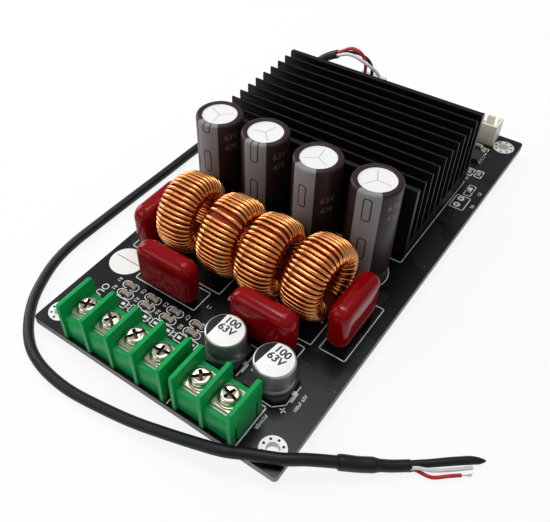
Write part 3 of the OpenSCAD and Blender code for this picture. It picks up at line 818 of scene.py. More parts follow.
@dataclass
class Studio:
    """Camera, floor and light.

    Attributes:
        eye: The camera's place in metres.
        right: Direction of the picture's right.
        up: Direction of the picture's top.
        lens: Focal length on a 36 mm sensor.
        shift: Sideways shift of the frame.
        ground: Half side of the floor in metres.
        drop: How far the floor lies below the object in metres.
        glow: Share of plain white in the floor as the camera sees it.
        dim: Strength of the room's light from below.
        sky: What is added to it overhead.
    """

    eye: Point = (0.06954, -0.12364, 0.13477)
    right: Point = (0.7975, 0.60261, -0.0292)
    up: Point = (-0.41916, 0.58823, 0.69159)
    lens: float = 44.444
    shift: float = 0.0917
    ground: float = 4.0
    drop: float = 0.0001
    glow: float = 0.87
    dim: float = 0.13
    sky: float = 0.37

    def camera(self) -> None:
        """Sets the camera at the photograph's angle."""
        data = bpy.data.cameras.new("camera")
        data.lens = self.lens
        data.sensor_width = 36.0
        data.shift_x = self.shift
        data.clip_start = 0.005
        data.clip_end = 20.0
        made = bpy.data.objects.new("camera", data)
        right = Vector(self.right).normalized()
        up = (Vector(self.up) - right * right.dot(Vector(self.up))).normalized()
        made.matrix_world = Matrix.Translation(Vector(self.eye)) @ Matrix(
            (right, up, right.cross(up))
        ).transposed().to_4x4()
        bpy.context.scene.collection.objects.link(made)
        bpy.context.scene.camera = made

    def lamp(self, name: str, place: Point, aim: Point, size: float, power: float) -> None:
        """Adds one soft lamp.

        Args:
            name: Name of the lamp.
            place: Its place in metres.
            aim: The point that it faces.
            size: Side of the square in metres.
            power: Power in watts.
        """
        data = bpy.data.lights.new(name, "AREA")
        data.size = size
        data.energy = power
        made = bpy.data.objects.new(name, data)
        made.location = place
        made.rotation_euler = (Vector(aim) - Vector(place)).to_track_quat("-Z", "Y").to_euler()
        bpy.context.scene.collection.objects.link(made)

    def floor(self) -> None:
        """Lays the pale floor."""
        bm = bmesh.new()
        bmesh.ops.create_grid(
            bm, x_segments=2, y_segments=2, size=self.ground, matrix=Matrix.Translation((0, 0, -self.drop))
        )
        mesh = bpy.data.meshes.new("floor")
        bm.to_mesh(mesh)
        bm.free()
        sheet = Sheet(bpy.data.materials.new("floor_pale"))
        pale = sheet.blend(sheet.noise(3.0, 2.0), (0.88, 0.88, 0.88, 1), (0.91, 0.91, 0.91, 1))
        lit = sheet.node("ShaderNodeBsdfDiffuse", inputs={"Color": pale})
        white = sheet.node("ShaderNodeEmission", inputs={"Color": (1, 1, 1, 1), "Strength": 1.0})
        seen = sheet.node("ShaderNodeLightPath", output="Is Camera Ray")
        for other in ("Is Glossy Ray", "Is Transmission Ray"):
            seen = seen.most(sheet.node("ShaderNodeLightPath", output=other))
        mixed = sheet.node("ShaderNodeMixShader", inputs={0: seen * self.glow, 1: lit, 2: white})
        sheet.node("ShaderNodeOutputMaterial", inputs={"Surface": mixed})
        mesh.materials.append(sheet.owner)
        made = bpy.data.objects.new("floor", mesh)
        bpy.context.scene.collection.objects.link(made)

    def world(self) -> None:
        """Fills the room with soft light that is brighter overhead."""
        room = bpy.data.worlds.new("room")
        sheet = Sheet(room)
        _, _, up = sheet.parts(sheet.node("ShaderNodeTexCoord", output="Generated"))
        level = self.dim + up.soft(-0.1, 1.0) * self.sky
        back = sheet.node("ShaderNodeBackground", inputs={"Color": (1, 1, 1, 1), "Strength": level})
        sheet.node("ShaderNodeOutputWorld", inputs={"Surface": back})
        bpy.context.scene.world = room

    def build(self) -> None:
        """Sets up the whole studio."""
        bpy.context.scene.view_settings.view_transform = "Standard"
        self.camera()
        self.floor()
        self.world()
        self.lamp("key", (-0.06, 0.12, 0.62), (0.0, -0.01, 0.01), 0.36, 1.2)
        self.lamp("glint", (-0.12, 0.06, 0.56), (0.0, -0.01, 0.01), 0.09, 0.34)
        self.lamp("left", (-0.55, 0.02, 0.26), (0.0, -0.01, 0.01), 0.4, 1.9)
        self.lamp("fill", (-0.3, -0.5, 0.4), (0.0, -0.02, 0.01), 0.35, 0.6)


@dataclass(frozen=True)
class Wire:
    """One round piece of the lead that stands for a CAD node.

    Attributes:
        node: The CAD node.
        points: Its line in millimetres from the board's front left corner and the floor.
        radius: Radius in millimetres.
        finish: Its finish.
        slot: The record's slot of the piece.
        steps: Steps of the line between two points.
        sides: Bevel resolution.
        shares: Share of the radius at each point; none for a plain round.
    """

    node: str
    points: Sequence[Point]
    radius: float
    finish: Finish
    slot: Slot
    steps: int
    sides: int = 3
    shares: Sequence[float] = ()

    @staticmethod
    def line(points: Sequence[Point], steps: int) -> list[Vector]:
        """A smooth line through points that are measured from the board's corner and the floor."""
        return smooth_route([deck(x, y, z - DECK_TOP) for x, y, z in points], steps)

    def taper(self) -> list[float]:
        """Spreads the radius shares over the steps between the points.

        Returns:
            The share at each point of the denser line.
        """
        spread: list[float] = []
        for here, ahead in zip(self.shares, self.shares[1:]):
            spread.extend(here + (ahead - here) * step / self.steps for step in range(self.steps))
        return [*spread, *self.shares[-1:]]

    def build(self) -> bpy.types.Object:
        """Makes the piece.

        Returns:
            The new object.
        """
        line = self.line(self.points, self.steps)
        made = Bench.tube(self.node + "_dressed", line, self.radius, self.finish, self.sides, self.taper())
        return Bench.hang(made, self.slot, replaces=[self.node])


@dataclass
class InputLead:
    """The lead: jacket, inner wires, sleeve, plug and stripped ends.

    Attributes:
        route: The jacket's points in millimetres from the board's front left corner and the floor.
        radius: Radius of the jacket in millimetres.
        wires: The wires from the jacket to the plug.
        ends: The sleeve and the wires beyond it.
        strands: How far each bare strand leans aside in millimetres.
        bare: Radius of a bare strand in millimetres.
    """

    route: Sequence[Point] = (
        (82.1, 11.6, 3.4), (79, 9.3, 4.2), (75.7, 6.8, 4.9), (72.4, 4.1, 5.4), (68.7, 2.1, 5.5),
        (64.9, 0.2, 5.5), (61, -1.8, 5.4), (55.6, -3.3, 4.6), (47.4, -5.2, 3.4), (38.5, -7, 2.3),
        (27.7, -8.5, 1.6), (21, -9.1, 1.5), (14.7, -8.8, 1.5), (9.2, -7.7, 1.5), (4.1, -5.5, 1.5),
        (-1, -1.5, 1.5), (-5.9, 4.3, 1.5), (-9.2, 10.5, 1.5), (-11.8, 17.7, 1.5), (-12.9, 25.5, 1.5),
        (-12.9, 35, 1.5), (-12.6, 49, 1.5), (-12.2, 64, 1.5), (-11.9, 80, 1.5), (-11.3, 95, 1.5),
        (-10.3, 103, 1.5), (-8.8, 110.5, 2), (-6.6, 117.5, 3.4), (-3.9, 122.7, 6), (-1, 126.5, 9.6),
        (2.2, 129, 13.4), (5.5, 130.2, 16.2), (9.2, 130.4, 18.3),
    )
    radius: float = 1.4
    wires: Sequence[Wire] = (
        Wire(
            "red_wire",
            (
                (9, 130.4, 18.8), (10.4, 130.4, 19.6), (13.6, 130.2, 21.7), (16, 130.1, 22),
                (18.1, 130, 21.2), (19.6, 130, 19), (20, 130, 16.8), (20, 130, 14.35),
            ),
            0.55, PALETTE.red, Slot.RED, 5,
        ),
        Wire(
            "white_wire",
            (
                (9.2, 129.8, 18), (10.6, 129.7, 18.7), (13.3, 128.9, 20.2), (16, 128.7, 20.5),
                (18.8, 128.7, 19.8), (21.6, 128.9, 18.7), (23.8, 129.5, 17.2), (25, 130, 15.6),
                (25, 130, 14.35),
            ),
            0.55, PALETTE.white, Slot.WHITE, 5,
        ),
        Wire(
            "black_wire",
            (
                (9.2, 131, 18), (10.6, 131, 18.7), (13.5, 131.1, 19.9), (16, 131.4, 20.2),
                (18.5, 131.5, 19.6), (20.6, 131.3, 18.5), (22, 130.6, 17.1), (22.5, 130, 15.6),
                (22.5, 130, 14.35),
            ),
            0.55, PALETTE.jacket, Slot.JACKET, 5,
        ),
    )
    ends: Sequence[Wire] = (
        Wire(
            "splice_sleeve",
            (
                (81.2, 10.9, 3.6), (82.1, 11.6, 3.4), (84.5, 13.3, 2.8), (87, 15.2, 2.4),
                (88.4, 16.2, 2.2), (90.6, 17.9, 1.8), (93.3, 20.2, 1.5),
            ),
            1.72, PALETTE.jacket, Slot.JACKET, 4, 4, (1.0, 1.04, 1.0, 1.0, 0.8, 0.78, 0.76),
        ),
        Wire(
            "shield_lead",
            (
                (92, 19.4, 1.7), (94, 21.1, 1.65), (96.5, 23.2, 1.5), (99.6, 26, 1.4),
                (102.8, 28.8, 1.2), (104.4, 29.9, 1.1), (105.5, 30.7, 1.1),
            ),
            0.95, PALETTE.jacket, Slot.JACKET, 4, 4, (0.85, 0.88, 0.95, 1.0, 1.0, 0.8, 0.2),
        ),
        Wire(
            "white_tail",
            (
                (93.1, 19, 1.95), (93.84, 19.61, 1.9), (94.75, 20.39, 1.8), (97.6, 22.1, 1.3),
                (100.7, 24.9, 0.8), (103.9, 27.9, 0.6),
            ),
            0.42, PALETTE.white, Slot.WHITE, 4,
        ),
        Wire(
            "red_tail",
            (
                (93, 19, 0.9), (93.74, 19.59, 0.85), (94.65, 20.37, 0.75), (97.9, 20.9, 0.55),
                (100.6, 23.2, 0.55), (102.7, 25, 0.55),
            ),
            0.42, PALETTE.red, Slot.RED, 4,
        ),
    )
    strands: Sequence[float] = (-0.35, 0.0, 0.4)
    bare: float = 0.1

    def bare_strands(self) -> list[bpy.types.Object]:
        """Makes the bare strands at the red wire's end.

        Returns:
            The pieces.
        """
        made = []
        for index, lean in enumerate(self.strands, 1):
            points = ((102.4, 24.8, 0.55), (103.4, 25.5 + 0.3 * lean, 0.5), (104.5, 26.4 + lean, 0.45))
            line = Wire.line(points, 4)
            strand = Bench.tube("bare_strand_%d" % index, line, self.bare, PALETTE.tinned, 1)
            made.append(Bench.hang(strand, Slot.TINNED))
        return made

    def build(self) -> None:
        points = Wire.line(tuple(reversed(self.route)), 5)
        jacket = Bench.tube("cable_jacket_dressed", points, self.radius, PALETTE.jacket, 6)
        Bench.hang(jacket, Slot.JACKET, replaces=["cable_jacket"])
        others = [wire.build() for wire in self.wires]
        others.append(Bench.softened("input_plug", PALETTE.ivory, Slot.IVORY, 0.25))
        others.extend(wire.build() for wire in self.ends)
        others.extend(self.bare_strands())
        length = sum((b - a).length for a, b in zip(points, points[1:]))
        2 * self.radius * MM
        LOG.info("lead of %.0f mm", length / MM)


class Ink:
    """Print on the board, laid as thin closed bars, rings and letters."""

    def __init__(self, height: float = 0.0, thickness: float = 0.025) -> None:
        """Starts an empty layer.

        Args:
            height: Height of its middle above the board in millimetres.
            thickness: Half of its thickness in millimetres.
        """
        self.bm = bmesh.new()
        self.height = height
        self.thickness = thickness

    def bar(self, start: Spot, end: Spot, width: float = PRINT_LINE) -> None:
        """Lays one straight bar.

        Args:
            start: Where it starts on the board.
            end: Where it ends.
            width: Its width in millimetres.
        """
        a, b = deck(*start, self.height), deck(*end, self.height)
        run = b - a
        size = (run.length + width * MM, width * MM, self.thickness * MM * 2, 1.0)
        spin = Matrix.Rotation(math.atan2(run.y, run.x), 4, "Z")
        bmesh.ops.create_cube(
            self.bm, size=1.0, matrix=Matrix.Translation((a + b) / 2) @ spin @ Matrix.Diagonal(size)
        )

    def path(self, points: Sequence[Spot], width: float = PRINT_LINE) -> None:
        """Lays bars from point to point."""
        for start, end in zip(points, points[1:]):
            self.bar(start, end, width)

    def box(self, low: Spot, high: Spot, width: float = PRINT_LINE) -> None:
        """Lays a rectangle."""
        self.path((low, (high[0], low[1]), high, (low[0], high[1]), low), width)

    def ring(
        self, centre: Spot, radius: float, width: float = PRINT_LINE,
        start: float = 0.0, sweep: float = 360.0, steps: int = 40,
    ) -> None:
        """Lays a ring or an arc.

        Args:
            centre: Its middle on the board.
            radius: Radius of its middle line in millimetres.
            width: Width of the line in millimetres.
            start: Angle where it starts, in degrees.
            sweep: Angle that it covers, in degrees.
            steps: Steps of the spin.
        """
        whole = abs(sweep) >= 360.0
        middle = deck(*centre, self.height)
        aim = Vector((math.cos(math.radians(start)), math.sin(math.radians(start)), 0.0))
        rise = Vector((0.0, 0.0, self.thickness * MM))
        inner, outer = (radius - width / 2) * MM, (radius + width / 2) * MM
        corners = [middle + aim * inner - rise, middle + aim * outer - rise,
                   middle + aim * outer + rise, middle + aim * inner + rise]
        face = self.bm.faces.new([self.bm.verts.new(corner) for corner in corners])
        bmesh.ops.spin(
            self.bm, geom=[face, *face.edges, *face.verts], cent=middle, axis=(0, 0, 1),
            angle=math.radians(sweep), steps=steps, use_merge=whole,
        )
        if whole:
            self.bm.faces.remove(face)

    def disc(self, centre: Spot, radius: float, steps: int = 40) -> None:
        """Lays a filled disc."""
        bmesh.ops.create_cone(
            self.bm, cap_ends=True, segments=steps, radius1=radius * MM, radius2=radius * MM,
            depth=self.thickness * MM * 2, matrix=Matrix.Translation(deck(*centre, self.height)),
        )

    @staticmethod
    def letters(text: str, size: float, thickness: float, weight: float = 0.0) -> bmesh.types.BMesh:
        """Makes the mesh of a word about the origin.

        Args:
            text: The letters.
            size: Size of the type in millimetres.
            thickness: Half of its thickness in millimetres.
            weight: How far the strokes grow, as a share of the size.

        Returns:
            The letters, in metres.
        """
        data = bpy.data.curves.new("letters", "FONT")
        data.body = text
        data.size = size * MM
        data.extrude = thickness * MM
        data.offset = weight * size * MM
        data.align_x = "CENTER"
        data.align_y = "CENTER"
        data.resolution_u = 3
        maker = bpy.data.objects.new("letters", data)
        bpy.context.scene.collection.objects.link(maker)
        bpy.context.view_layer.update()
        shape = bpy.data.meshes.new_from_object(maker.evaluated_get(bpy.context.evaluated_depsgraph_get()))
        bpy.data.objects.remove(maker)
        bpy.data.curves.remove(data)
        bm = bmesh.new()
        bm.from_mesh(shape)
        bpy.data.meshes.remove(shape)
        bmesh.ops.remove_doubles(bm, verts=bm.verts[:], dist=TINY)
        return bm

    def word(self, text: str, centre: Spot, size: float, turn: float, weight: float = 0.0) -> None:
        """Lays a word.

        Args:
            text: The letters.
            centre: Its middle on the board.
            size: Size of the type in millimetres.
            turn: Turn of its baseline from +X, in degrees.
            weight: How far the strokes grow, as a share of the size.
        """
        bm = self.letters(text, size, self.thickness, weight)
        bm.transform(
            Matrix.Translation(deck(*centre, self.height)) @ Matrix.Rotation(math.radians(turn), 4, "Z")
        )
        shape = bpy.data.meshes.new("letters")
        bm.to_mesh(shape)
        bm.free()
        self.bm.from_mesh(shape)
        bpy.data.meshes.remove(shape)

    def done(self, name: str, finish: Finish, slot: Slot) -> bpy.types.Object:
        """Ends the layer as one piece."""
        bmesh.ops.recalc_face_normals(self.bm, faces=self.bm.faces[:])
        return Bench.piece(name, self.bm, [finish], slot)


@dataclass
class CircuitBoard:
    """The board with its print, plated rings and paper sticker.

    Attributes:
        corners: The corner holes' places on the board.
        ring: Outer radius of a plated ring in millimetres.
        hole: Radius of a corner hole in millimetres.
        dots: Number of dots on a plated ring; they are black discs, painted shade standing for small via
            holes.
        dot_reach: Place of the dots from the hole's middle in millimetres.
        dot: Radius of a dot in millimetres.
        rim: How near the board's edge a wall is bare laminate, in millimetres.
        eyes: Places of the two open solder eyes at the right.
        spare: Places across the board of the pairs of bare pads behind the terminals.
        spare_y: Their place from the front edge in millimetres.
        boxes: Two corners of each printed box.
        lines: Width and points of each printed line.
        can_ring: Radius of the printed ring round a tall capacitor in millimetres.
        brackets: Half length in millimetres of the printed brackets round the first chips at the right.
        fine: Width of the lines round the small chips in millimetres.
        bow: Radius of the round ends of the outlines by the terminals in millimetres.
        bow_reach: Place of those ends' middles from the chip's middle in millimetres.
        bow_gap: Place of the straight lines' inner ends from the chip's middle in millimetres.
        marks: Reference marks with their places and turns.
        mark_size: Size of their type in millimetres.
        words: Words with their places, sizes, turns and weights.
        sticker: Place of the sticker.
        sticker_radius: Its radius in millimetres.
    """

    corners: Sequence[Spot] = ((4.3, 5.3), (68.7, 5.3), (4.3, 132.7), (68.7, 132.7))
    ring: float = 3.15
    hole: float = 1.6
    dots: int = 8
    dot_reach: float = 2.35
    dot: float = 0.34
    rim: float = 1.3
    eyes: Sequence[Spot] = ((67.9, 102.5), (67.9, 99.55))
    spare: Sequence[float] = (13.5, 20.9, 28.3, 35.9)
    spare_y: float = 16.3
    boxes: Sequence[tuple[Spot, Spot]] = (
        ((11.96, 24.93), (31.49, 31.79)), ((40.6, 24.7), (60.1, 31.4)), ((62.73, 33.33), (69.68, 52.66)),
        ((3.3, 33.33), (10.3, 52.66)), ((10.9, 32.9), (33.4, 55)), ((36.2, 32.9), (60.7, 55)),
        ((66.3, 97.9), (70.3, 103.8)),
    )
    lines: Sequence[tuple[float, Sequence[Spot]]] = (
        (PRINT_LINE, ((59.9, 13.5), (62.8, 13.5), (65.1, 15.7), (65.2, 21.6))),
        (PRINT_LINE, ((51.6, 15.6), (51.6, 21.8))),
        (PRINT_LINE, ((64.6, 14.2), (65.9, 14.2))),
        (PRINT_LINE, ((65.25, 13.55), (65.25, 14.85))),
        (0.5, ((65.6, 17.2), (65.6, 19.5))),
        (0.5, ((52, 17.3), (52, 19.5))),
        (0.36, ((60.6, 12.7), (61.95, 12.7), (61.95, 0.9))),
        (0.36, ((43.35, 0.6), (43.35, 12.4))),
        (0.26, ((40, 69.5), (65.6, 69.5), (65.6, 110.3), (63, 110.3))),
    )
    can_ring: float = 6.7
    brackets: Sequence[float] = (1.7, 1.7, 2.5, 1.7)
    fine: float = 0.24
    bow: float = 1.15
    bow_reach: float = 1.25
    bow_gap: float = 0.6
    marks: Sequence[tuple[str, Spot, float]] = (
        ("R1", (9.1, 21.9), -90), ("R2", (9.8, 19.1), -90), ("R3", (17.3, 19.2), -90),
        ("R4", (24.4, 19.3), -90), ("R5", (32.0, 19.0), -90), ("C5", (24.5, 22.3), -90),
        ("C6", (17.0, 22.3), -90), ("C7", (31.6, 22.3), -90), ("C1", (17.3, 16.3), -90),
        ("C2", (24.6, 16.3), -90), ("C3", (32.1, 16.3), -90), ("L1", (34.0, 28.0), 0),
        ("R6", (62.8, 114.2), 90), ("R7", (65.4, 112.4), 90), ("C8", (71.6, 107.2), 90),
        ("R8", (72.0, 101.0), 90),
    )
    mark_size: float = 1.4
    words: Sequence[tuple[str, Spot, float, float, float]] = (
        ("OUT", (7.7, 16.0), 2.8, -90, 0.0), ("POWER", (63.0, 9.1), 1.2, -90, 0.02),
        ("100uF 63V", (67.5, 17.9), 1.2, 90, 0.015), ("IN", (30.5, 131.2), 1.8, 0, 0.0),
    )
    sticker: Spot = (6.2, 27.8)
    sticker_radius: float = 4.8

    def slab(self) -> None:
        """Dresses the board: mask above and below, bare laminate at its edge, plated holes."""
        bm = bmesh.new()
        bm.from_mesh(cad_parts["circuit_board"].data)
        bmesh.ops.remove_doubles(bm, verts=bm.verts[:], dist=WELD)
        reach = Vector((BOARD_WIDTH / 2 - self.rim, BOARD_LENGTH / 2 - self.rim))
        for face in bm.faces:
            middle = face.calc_center_median() / MM
            outside = abs(middle.x) > reach.x or abs(middle.y) > reach.y
            face.material_index = 0 if abs(face.normal.z) > 0.5 else (1 if outside else 2)
        Bench.piece(
            "circuit_board_dressed", bm, [PALETTE.mask, PALETTE.edge, PALETTE.ring], Slot.BOARD,
            replaces=["circuit_board"],
        )

    def plating(self) -> None:
        """Lays the corner rings with their black dots, painted shade standing for small via holes, the open
        eyes and the bare pads.
        """
        ink = Ink(0.0, 0.035)
        width = self.ring - self.hole
        for corner in self.corners:
            ink.ring(corner, self.hole + width / 2, width, steps=48)
        for eye in self.eyes:
            ink.ring(eye, 0.7, 0.6, steps=24)
        for x in self.spare:
            for side in (-2.0, 2.0):
                ink.bar((x + side - 0.1, self.spare_y), (x + side + 0.1, self.spare_y), 0.8)
        ink.done("plated_rings", PALETTE.ring, Slot.TINNED)
        # The dots are black discs: painted shade standing for small via holes in the plated ring.
        dots = Ink(0.0, 0.05)
        for x, y in self.corners:
            for step in range(self.dots):
                a = TURN * step / self.dots
                spot = (x + self.dot_reach * math.cos(a), y + self.dot_reach * math.sin(a))
                dots.disc(spot, self.dot, 14)
        dots.done("ring_via_shade_dots", PALETTE.chip, Slot.CHIP)

    def outlines(self, ink: Ink) -> None:
        """Lays the outlines of the big parts.

        Args:
            ink: The layer of print.
        """
        for low, high in self.boxes:
            ink.box(low, high)
        for width, points in self.lines:
            ink.path(points, width)
        for x, y, *_ in BULK_CAPACITORS:
            ink.ring((x, y), self.can_ring)

    def small_print(self, ink: Ink) -> None:
        """Lays the outlines of the small chips and the few words.

        Args:
            ink: The layer of print.
        """
        for x, y, *_ in TERMINAL_CHIPS:
            for side in (-1, 1):
                near, far = x + side * self.bow_gap, x + side * self.bow_reach
                ink.ring((far, y), self.bow, self.fine, -90 * side, 180, 14)
                for edge in (-self.bow, self.bow):
                    ink.bar((near, y + edge), (far, y + edge), self.fine)
        for (x, y, *_), half in zip(RIGHT_CHIPS, self.brackets):
            for side in (-1, 1):
                near, far = y + side * 0.4, y + side * half
                ink.path(((x - 1, near), (x - 1, far), (x + 1, far), (x + 1, near)), self.fine)
        for x in self.spare:
            ink.box((x - 3.1, self.spare_y - 1.2), (x + 3.1, self.spare_y + 1.2), 0.26)
        for mark, place, turn in self.marks:
            ink.word(mark, place, self.mark_size, turn)
        for word, place, size, turn, weight in self.words:
            ink.word(word, place, size, turn, weight)

    def label(self) -> None:
        """Lays the plain round paper sticker with the line across it."""
        paper = Ink(0.03, 0.04)
        paper.disc(self.sticker, self.sticker_radius, 64)
        paper.done("paper_sticker", PALETTE.paper, Slot.WHITE)
        line = Ink(0.07, 0.01)
        x, y = self.sticker
        line.bar((x - 3.7, y + 0.5), (x + 3.7, y + 0.5), 0.2)
        line.done("sticker_line", PALETTE.ink, Slot.BASE)

    def build(self) -> None:
        """Makes the board."""
        self.slab()
        self.plating()
        ink = Ink()
        self.outlines(ink)
        self.small_print(ink)
        ink.done("board_print", PALETTE.printed, Slot.WHITE)
        self.label()


@dataclass
class Heatsink:
    """The extruded heatsink, with fine teeth on its fins, and what holds it.

    Attributes:
        low: Its front left lower corner on the board.
        length: Length along the board's width in millimetres.
        depth: Front to back in millimetres.
        height: Height in millimetres.
        base: Thickness of the base in millimetres.
        fins: Number of fins.
        fin: Thickness of an inner fin in millimetres.
        end_fin: Thickness of the outer fins in millimetres.
        tooth: Depth of a tooth in millimetres.
        taper: How far each side of an inner fin leans in towards its top.
        pitch: Distance between teeth in millimetres.
        toe: Height of the first tooth above the base in millimetres.
        plain: Height of a fin that has no teeth in millimetres.
        crest: Size of the cut corners of a fin's top in millimetres.
    """

    low: Point = (4.2, 70.2, 1.7)
    length: float = 61.5
    depth: float = 40.3
    height: float = 22.0
    base: float = 4.0
    fins: int = 11
    fin: float = 0.9
    end_fin: float = 1.5
    tooth: float = 0.13
    taper: float = 0.17
    pitch: float = 0.85
    toe: float = 0.9
    plain: float = 2.0
    crest: float = 0.12

    def section(self) -> list[Spot]:
        """Draws the outline of the extrusion.

        Returns:
            Its points, front to back and up, in millimetres.
        """
        outline = [(0.0, 0.0)]
        step = (self.depth - self.end_fin) / (self.fins - 1)
        teeth = int((self.height - self.base - self.plain) / self.pitch)
        for index in range(self.fins):
            half = (self.end_fin if index in (0, self.fins - 1) else self.fin) / 2
            slim = self.taper if 0 < index < self.fins - 1 else 0.0
            middle = self.end_fin / 2 + index * step
            foot = 0.0 if index == 0 else self.base
            rise = [(middle - half, foot), (middle - half, self.base + self.toe - 0.1)] if index else []
            fall = []
            for tooth in range(teeth):
                z = self.base + self.toe + tooth * self.pitch
                side = half - slim * tooth / teeth
                for part, deep in ((0.0, 0.0), (0.35, self.tooth), (0.7, 0.0)):
                    if index:
                        rise.append((middle - side + deep, z + part * self.pitch))
                    if index < self.fins - 1:
                        fall.append((middle + side - deep, z + part * self.pitch))
            top, cut = self.height, self.crest
            thin = half - slim
            crest = [
                (middle - thin, top - cut), (middle - thin + cut, top),
                (middle + thin - cut, top), (middle + thin, top - cut),
            ]
            foot = 0.0 if index == self.fins - 1 else self.base
            outline += rise + crest + fall[::-1] + [(middle + half, foot)]
        return outline

    def build(self) -> None:
        """Makes the heatsink."""
        bm = bmesh.new()
        corners = []
        for y, z in self.section():
            place = deck(self.low[0], self.low[1] + y, self.low[2] + z)
            if not corners or (place - corners[-1]).length > TINY:
                corners.append(place)
        face = bm.faces.new([bm.verts.new(corner) for corner in corners])
        grown = bmesh.ops.extrude_face_region(bm, geom=[face])
        moved = [item for item in grown["geom"] if isinstance(item, bmesh.types.BMVert)]
        bmesh.ops.translate(bm, vec=(self.length * MM, 0, 0), verts=moved)
        bmesh.ops.recalc_face_normals(bm, faces=bm.faces[:])
        Bench.piece(
            "heatsink_dressed", bm, [PALETTE.heatsink], Slot.HEATSINK, replaces=["heatsink"], crease=25.0
        )
        Bench.dress(["heatsink_screws"], PALETTE.nickel)
        Bench.dress(["thermal_pad"], PALETTE.pad)
        Bench.dress(["amplifier_chip", "regulator_chip"], PALETTE.chip)
        Bench.dress(["chip_leads", "solder_joints"], PALETTE.tinned)


@dataclass
class BulkCapacitor:
    """One tall radial capacitor in its brown sleeve.

    Attributes:
        index: Number of its CAD node.
        x: Place from the board's left edge in millimetres.
        y: Place from the board's front edge in millimetres.
        stripe: Direction that the stripe faces, in degrees from +X.
        mark: Height of the middle of one mark in millimetres.
        vent: Turn of the vent score in degrees.
        value: Height of the printed value in millimetres.
        radius: Radius of the can in millimetres.
        aside: Turn from the stripe to the printed value in degrees.
        rows: Rows of the printed value, with their drop in millimetres.
        profile: Radius and height of the can's points in millimetres.
        vent_above: Height above which the vent lies in millimetres.
        vent_reach: Radius within which it lies in millimetres.
        bung_below: Height below which the rubber bung lies in millimetres.
        bung_reach: Radius within which it lies in millimetres.
    """

    index: int
    x: float
    y: float
    stripe: float
    mark: float
    vent: float
    value: float
    radius: float = 6.25
    aside: float = 62.0
    rows: Sequence[tuple[str, float]] = (("63V", 0.0), ("470", 3.2))
    profile: Sequence[Spot] = (
        (0, 0.2), (5.2, 0.2), (5.6, 0), (6.05, 0.05), (6.25, 0.35), (6.25, 1.9), (6.1, 2.25), (5.75, 2.6),
        (5.7, 2.8), (5.75, 3), (6.1, 3.35), (6.25, 3.7), (6.25, 29.5), (6.22, 29.9), (6.1, 30.2),
        (5.85, 30.42), (5.5, 30.5), (5, 30.5), (4.75, 30.46), (4.62, 30.36), (4.58, 30.2), (4.55, 30.15),
        (0, 30.15),
    )
    vent_above: float = 30.1
    vent_reach: float = 4.57
    bung_below: float = 0.25
    bung_reach: float = 5.3

    def chart(self, bm: bmesh.types.BMesh) -> None:
        """Gives the faces their material numbers and their UV map in millimetres.

        Args:
            bm: The can about the origin.
        """
        layer = bm.loops.layers.uv.verify()
        turn = Matrix.Rotation(-math.radians(self.vent), 2)
        zero = math.radians(self.stripe)
        for face in bm.faces:
            middle = face.calc_center_median() / MM
            reach = middle.xy.length
            if middle.z > self.vent_above and reach < self.vent_reach:
                face.material_index = 1
            elif middle.z < self.bung_below and reach < self.bung_reach:
                face.material_index = 2
            aim = math.remainder(math.atan2(middle.y, middle.x) - zero, TURN)
            for loop in face.loops:
                spot = loop.vert.co / MM
                if face.material_index == 1:
                    loop[layer].uv = turn @ spot.xy
                    continue
                around = aim
                if spot.xy.length > 0.01:
                    around = aim + math.remainder(math.atan2(spot.y, spot.x) - zero - aim, TURN)
                loop[layer].uv = (around * self.radius, spot.z - self.mark)

    def bent_print(self) -> bmesh.types.BMesh:
        """Bends the printed value round the sleeve, to the right of the stripe.

        Returns:
            The letters in their place.
        """
        whole = bmesh.new()
        for text, drop in self.rows:
            row = Ink.letters(text, 2.5, 0.03)
            long = [edge for edge in row.edges if edge.calc_length() > 0.5 * MM]
            bmesh.ops.subdivide_edges(row, edges=long, cuts=2)
            for vert in row.verts:
                turn = math.radians(self.stripe + self.aside) + vert.co.x / (self.radius * MM)
                reach = self.radius * MM + vert.co.z
                height = vert.co.y + (self.value - drop) * MM
                vert.co = (reach * math.cos(turn), reach * math.sin(turn), height)
            shape = bpy.data.meshes.new("row")
            row.to_mesh(shape)
            row.free()
            whole.from_mesh(shape)
            bpy.data.meshes.remove(shape)
        bmesh.ops.triangulate(whole, faces=whole.faces[:])
        bmesh.ops.recalc_face_normals(whole, faces=whole.faces[:])
        whole.transform(Matrix.Translation(deck(self.x, self.y)))
        return whole

    def build(self) -> None:
        """Makes the capacitor."""
        bm = Bench.revolve(self.profile, 72)
        self.chart(bm)
        bm.transform(Matrix.Translation(deck(self.x, self.y)))
        node = "bulk_capacitor_%d" % self.index
        Bench.piece(
            node + "_dressed", bm, [PALETTE.sleeve, PALETTE.vent, PALETTE.bung], Slot.SLEEVE, replaces=[node]
        )
        Bench.piece("bulk_value_%d" % self.index, self.bent_print(), [PALETTE.faint], Slot.WHITE)


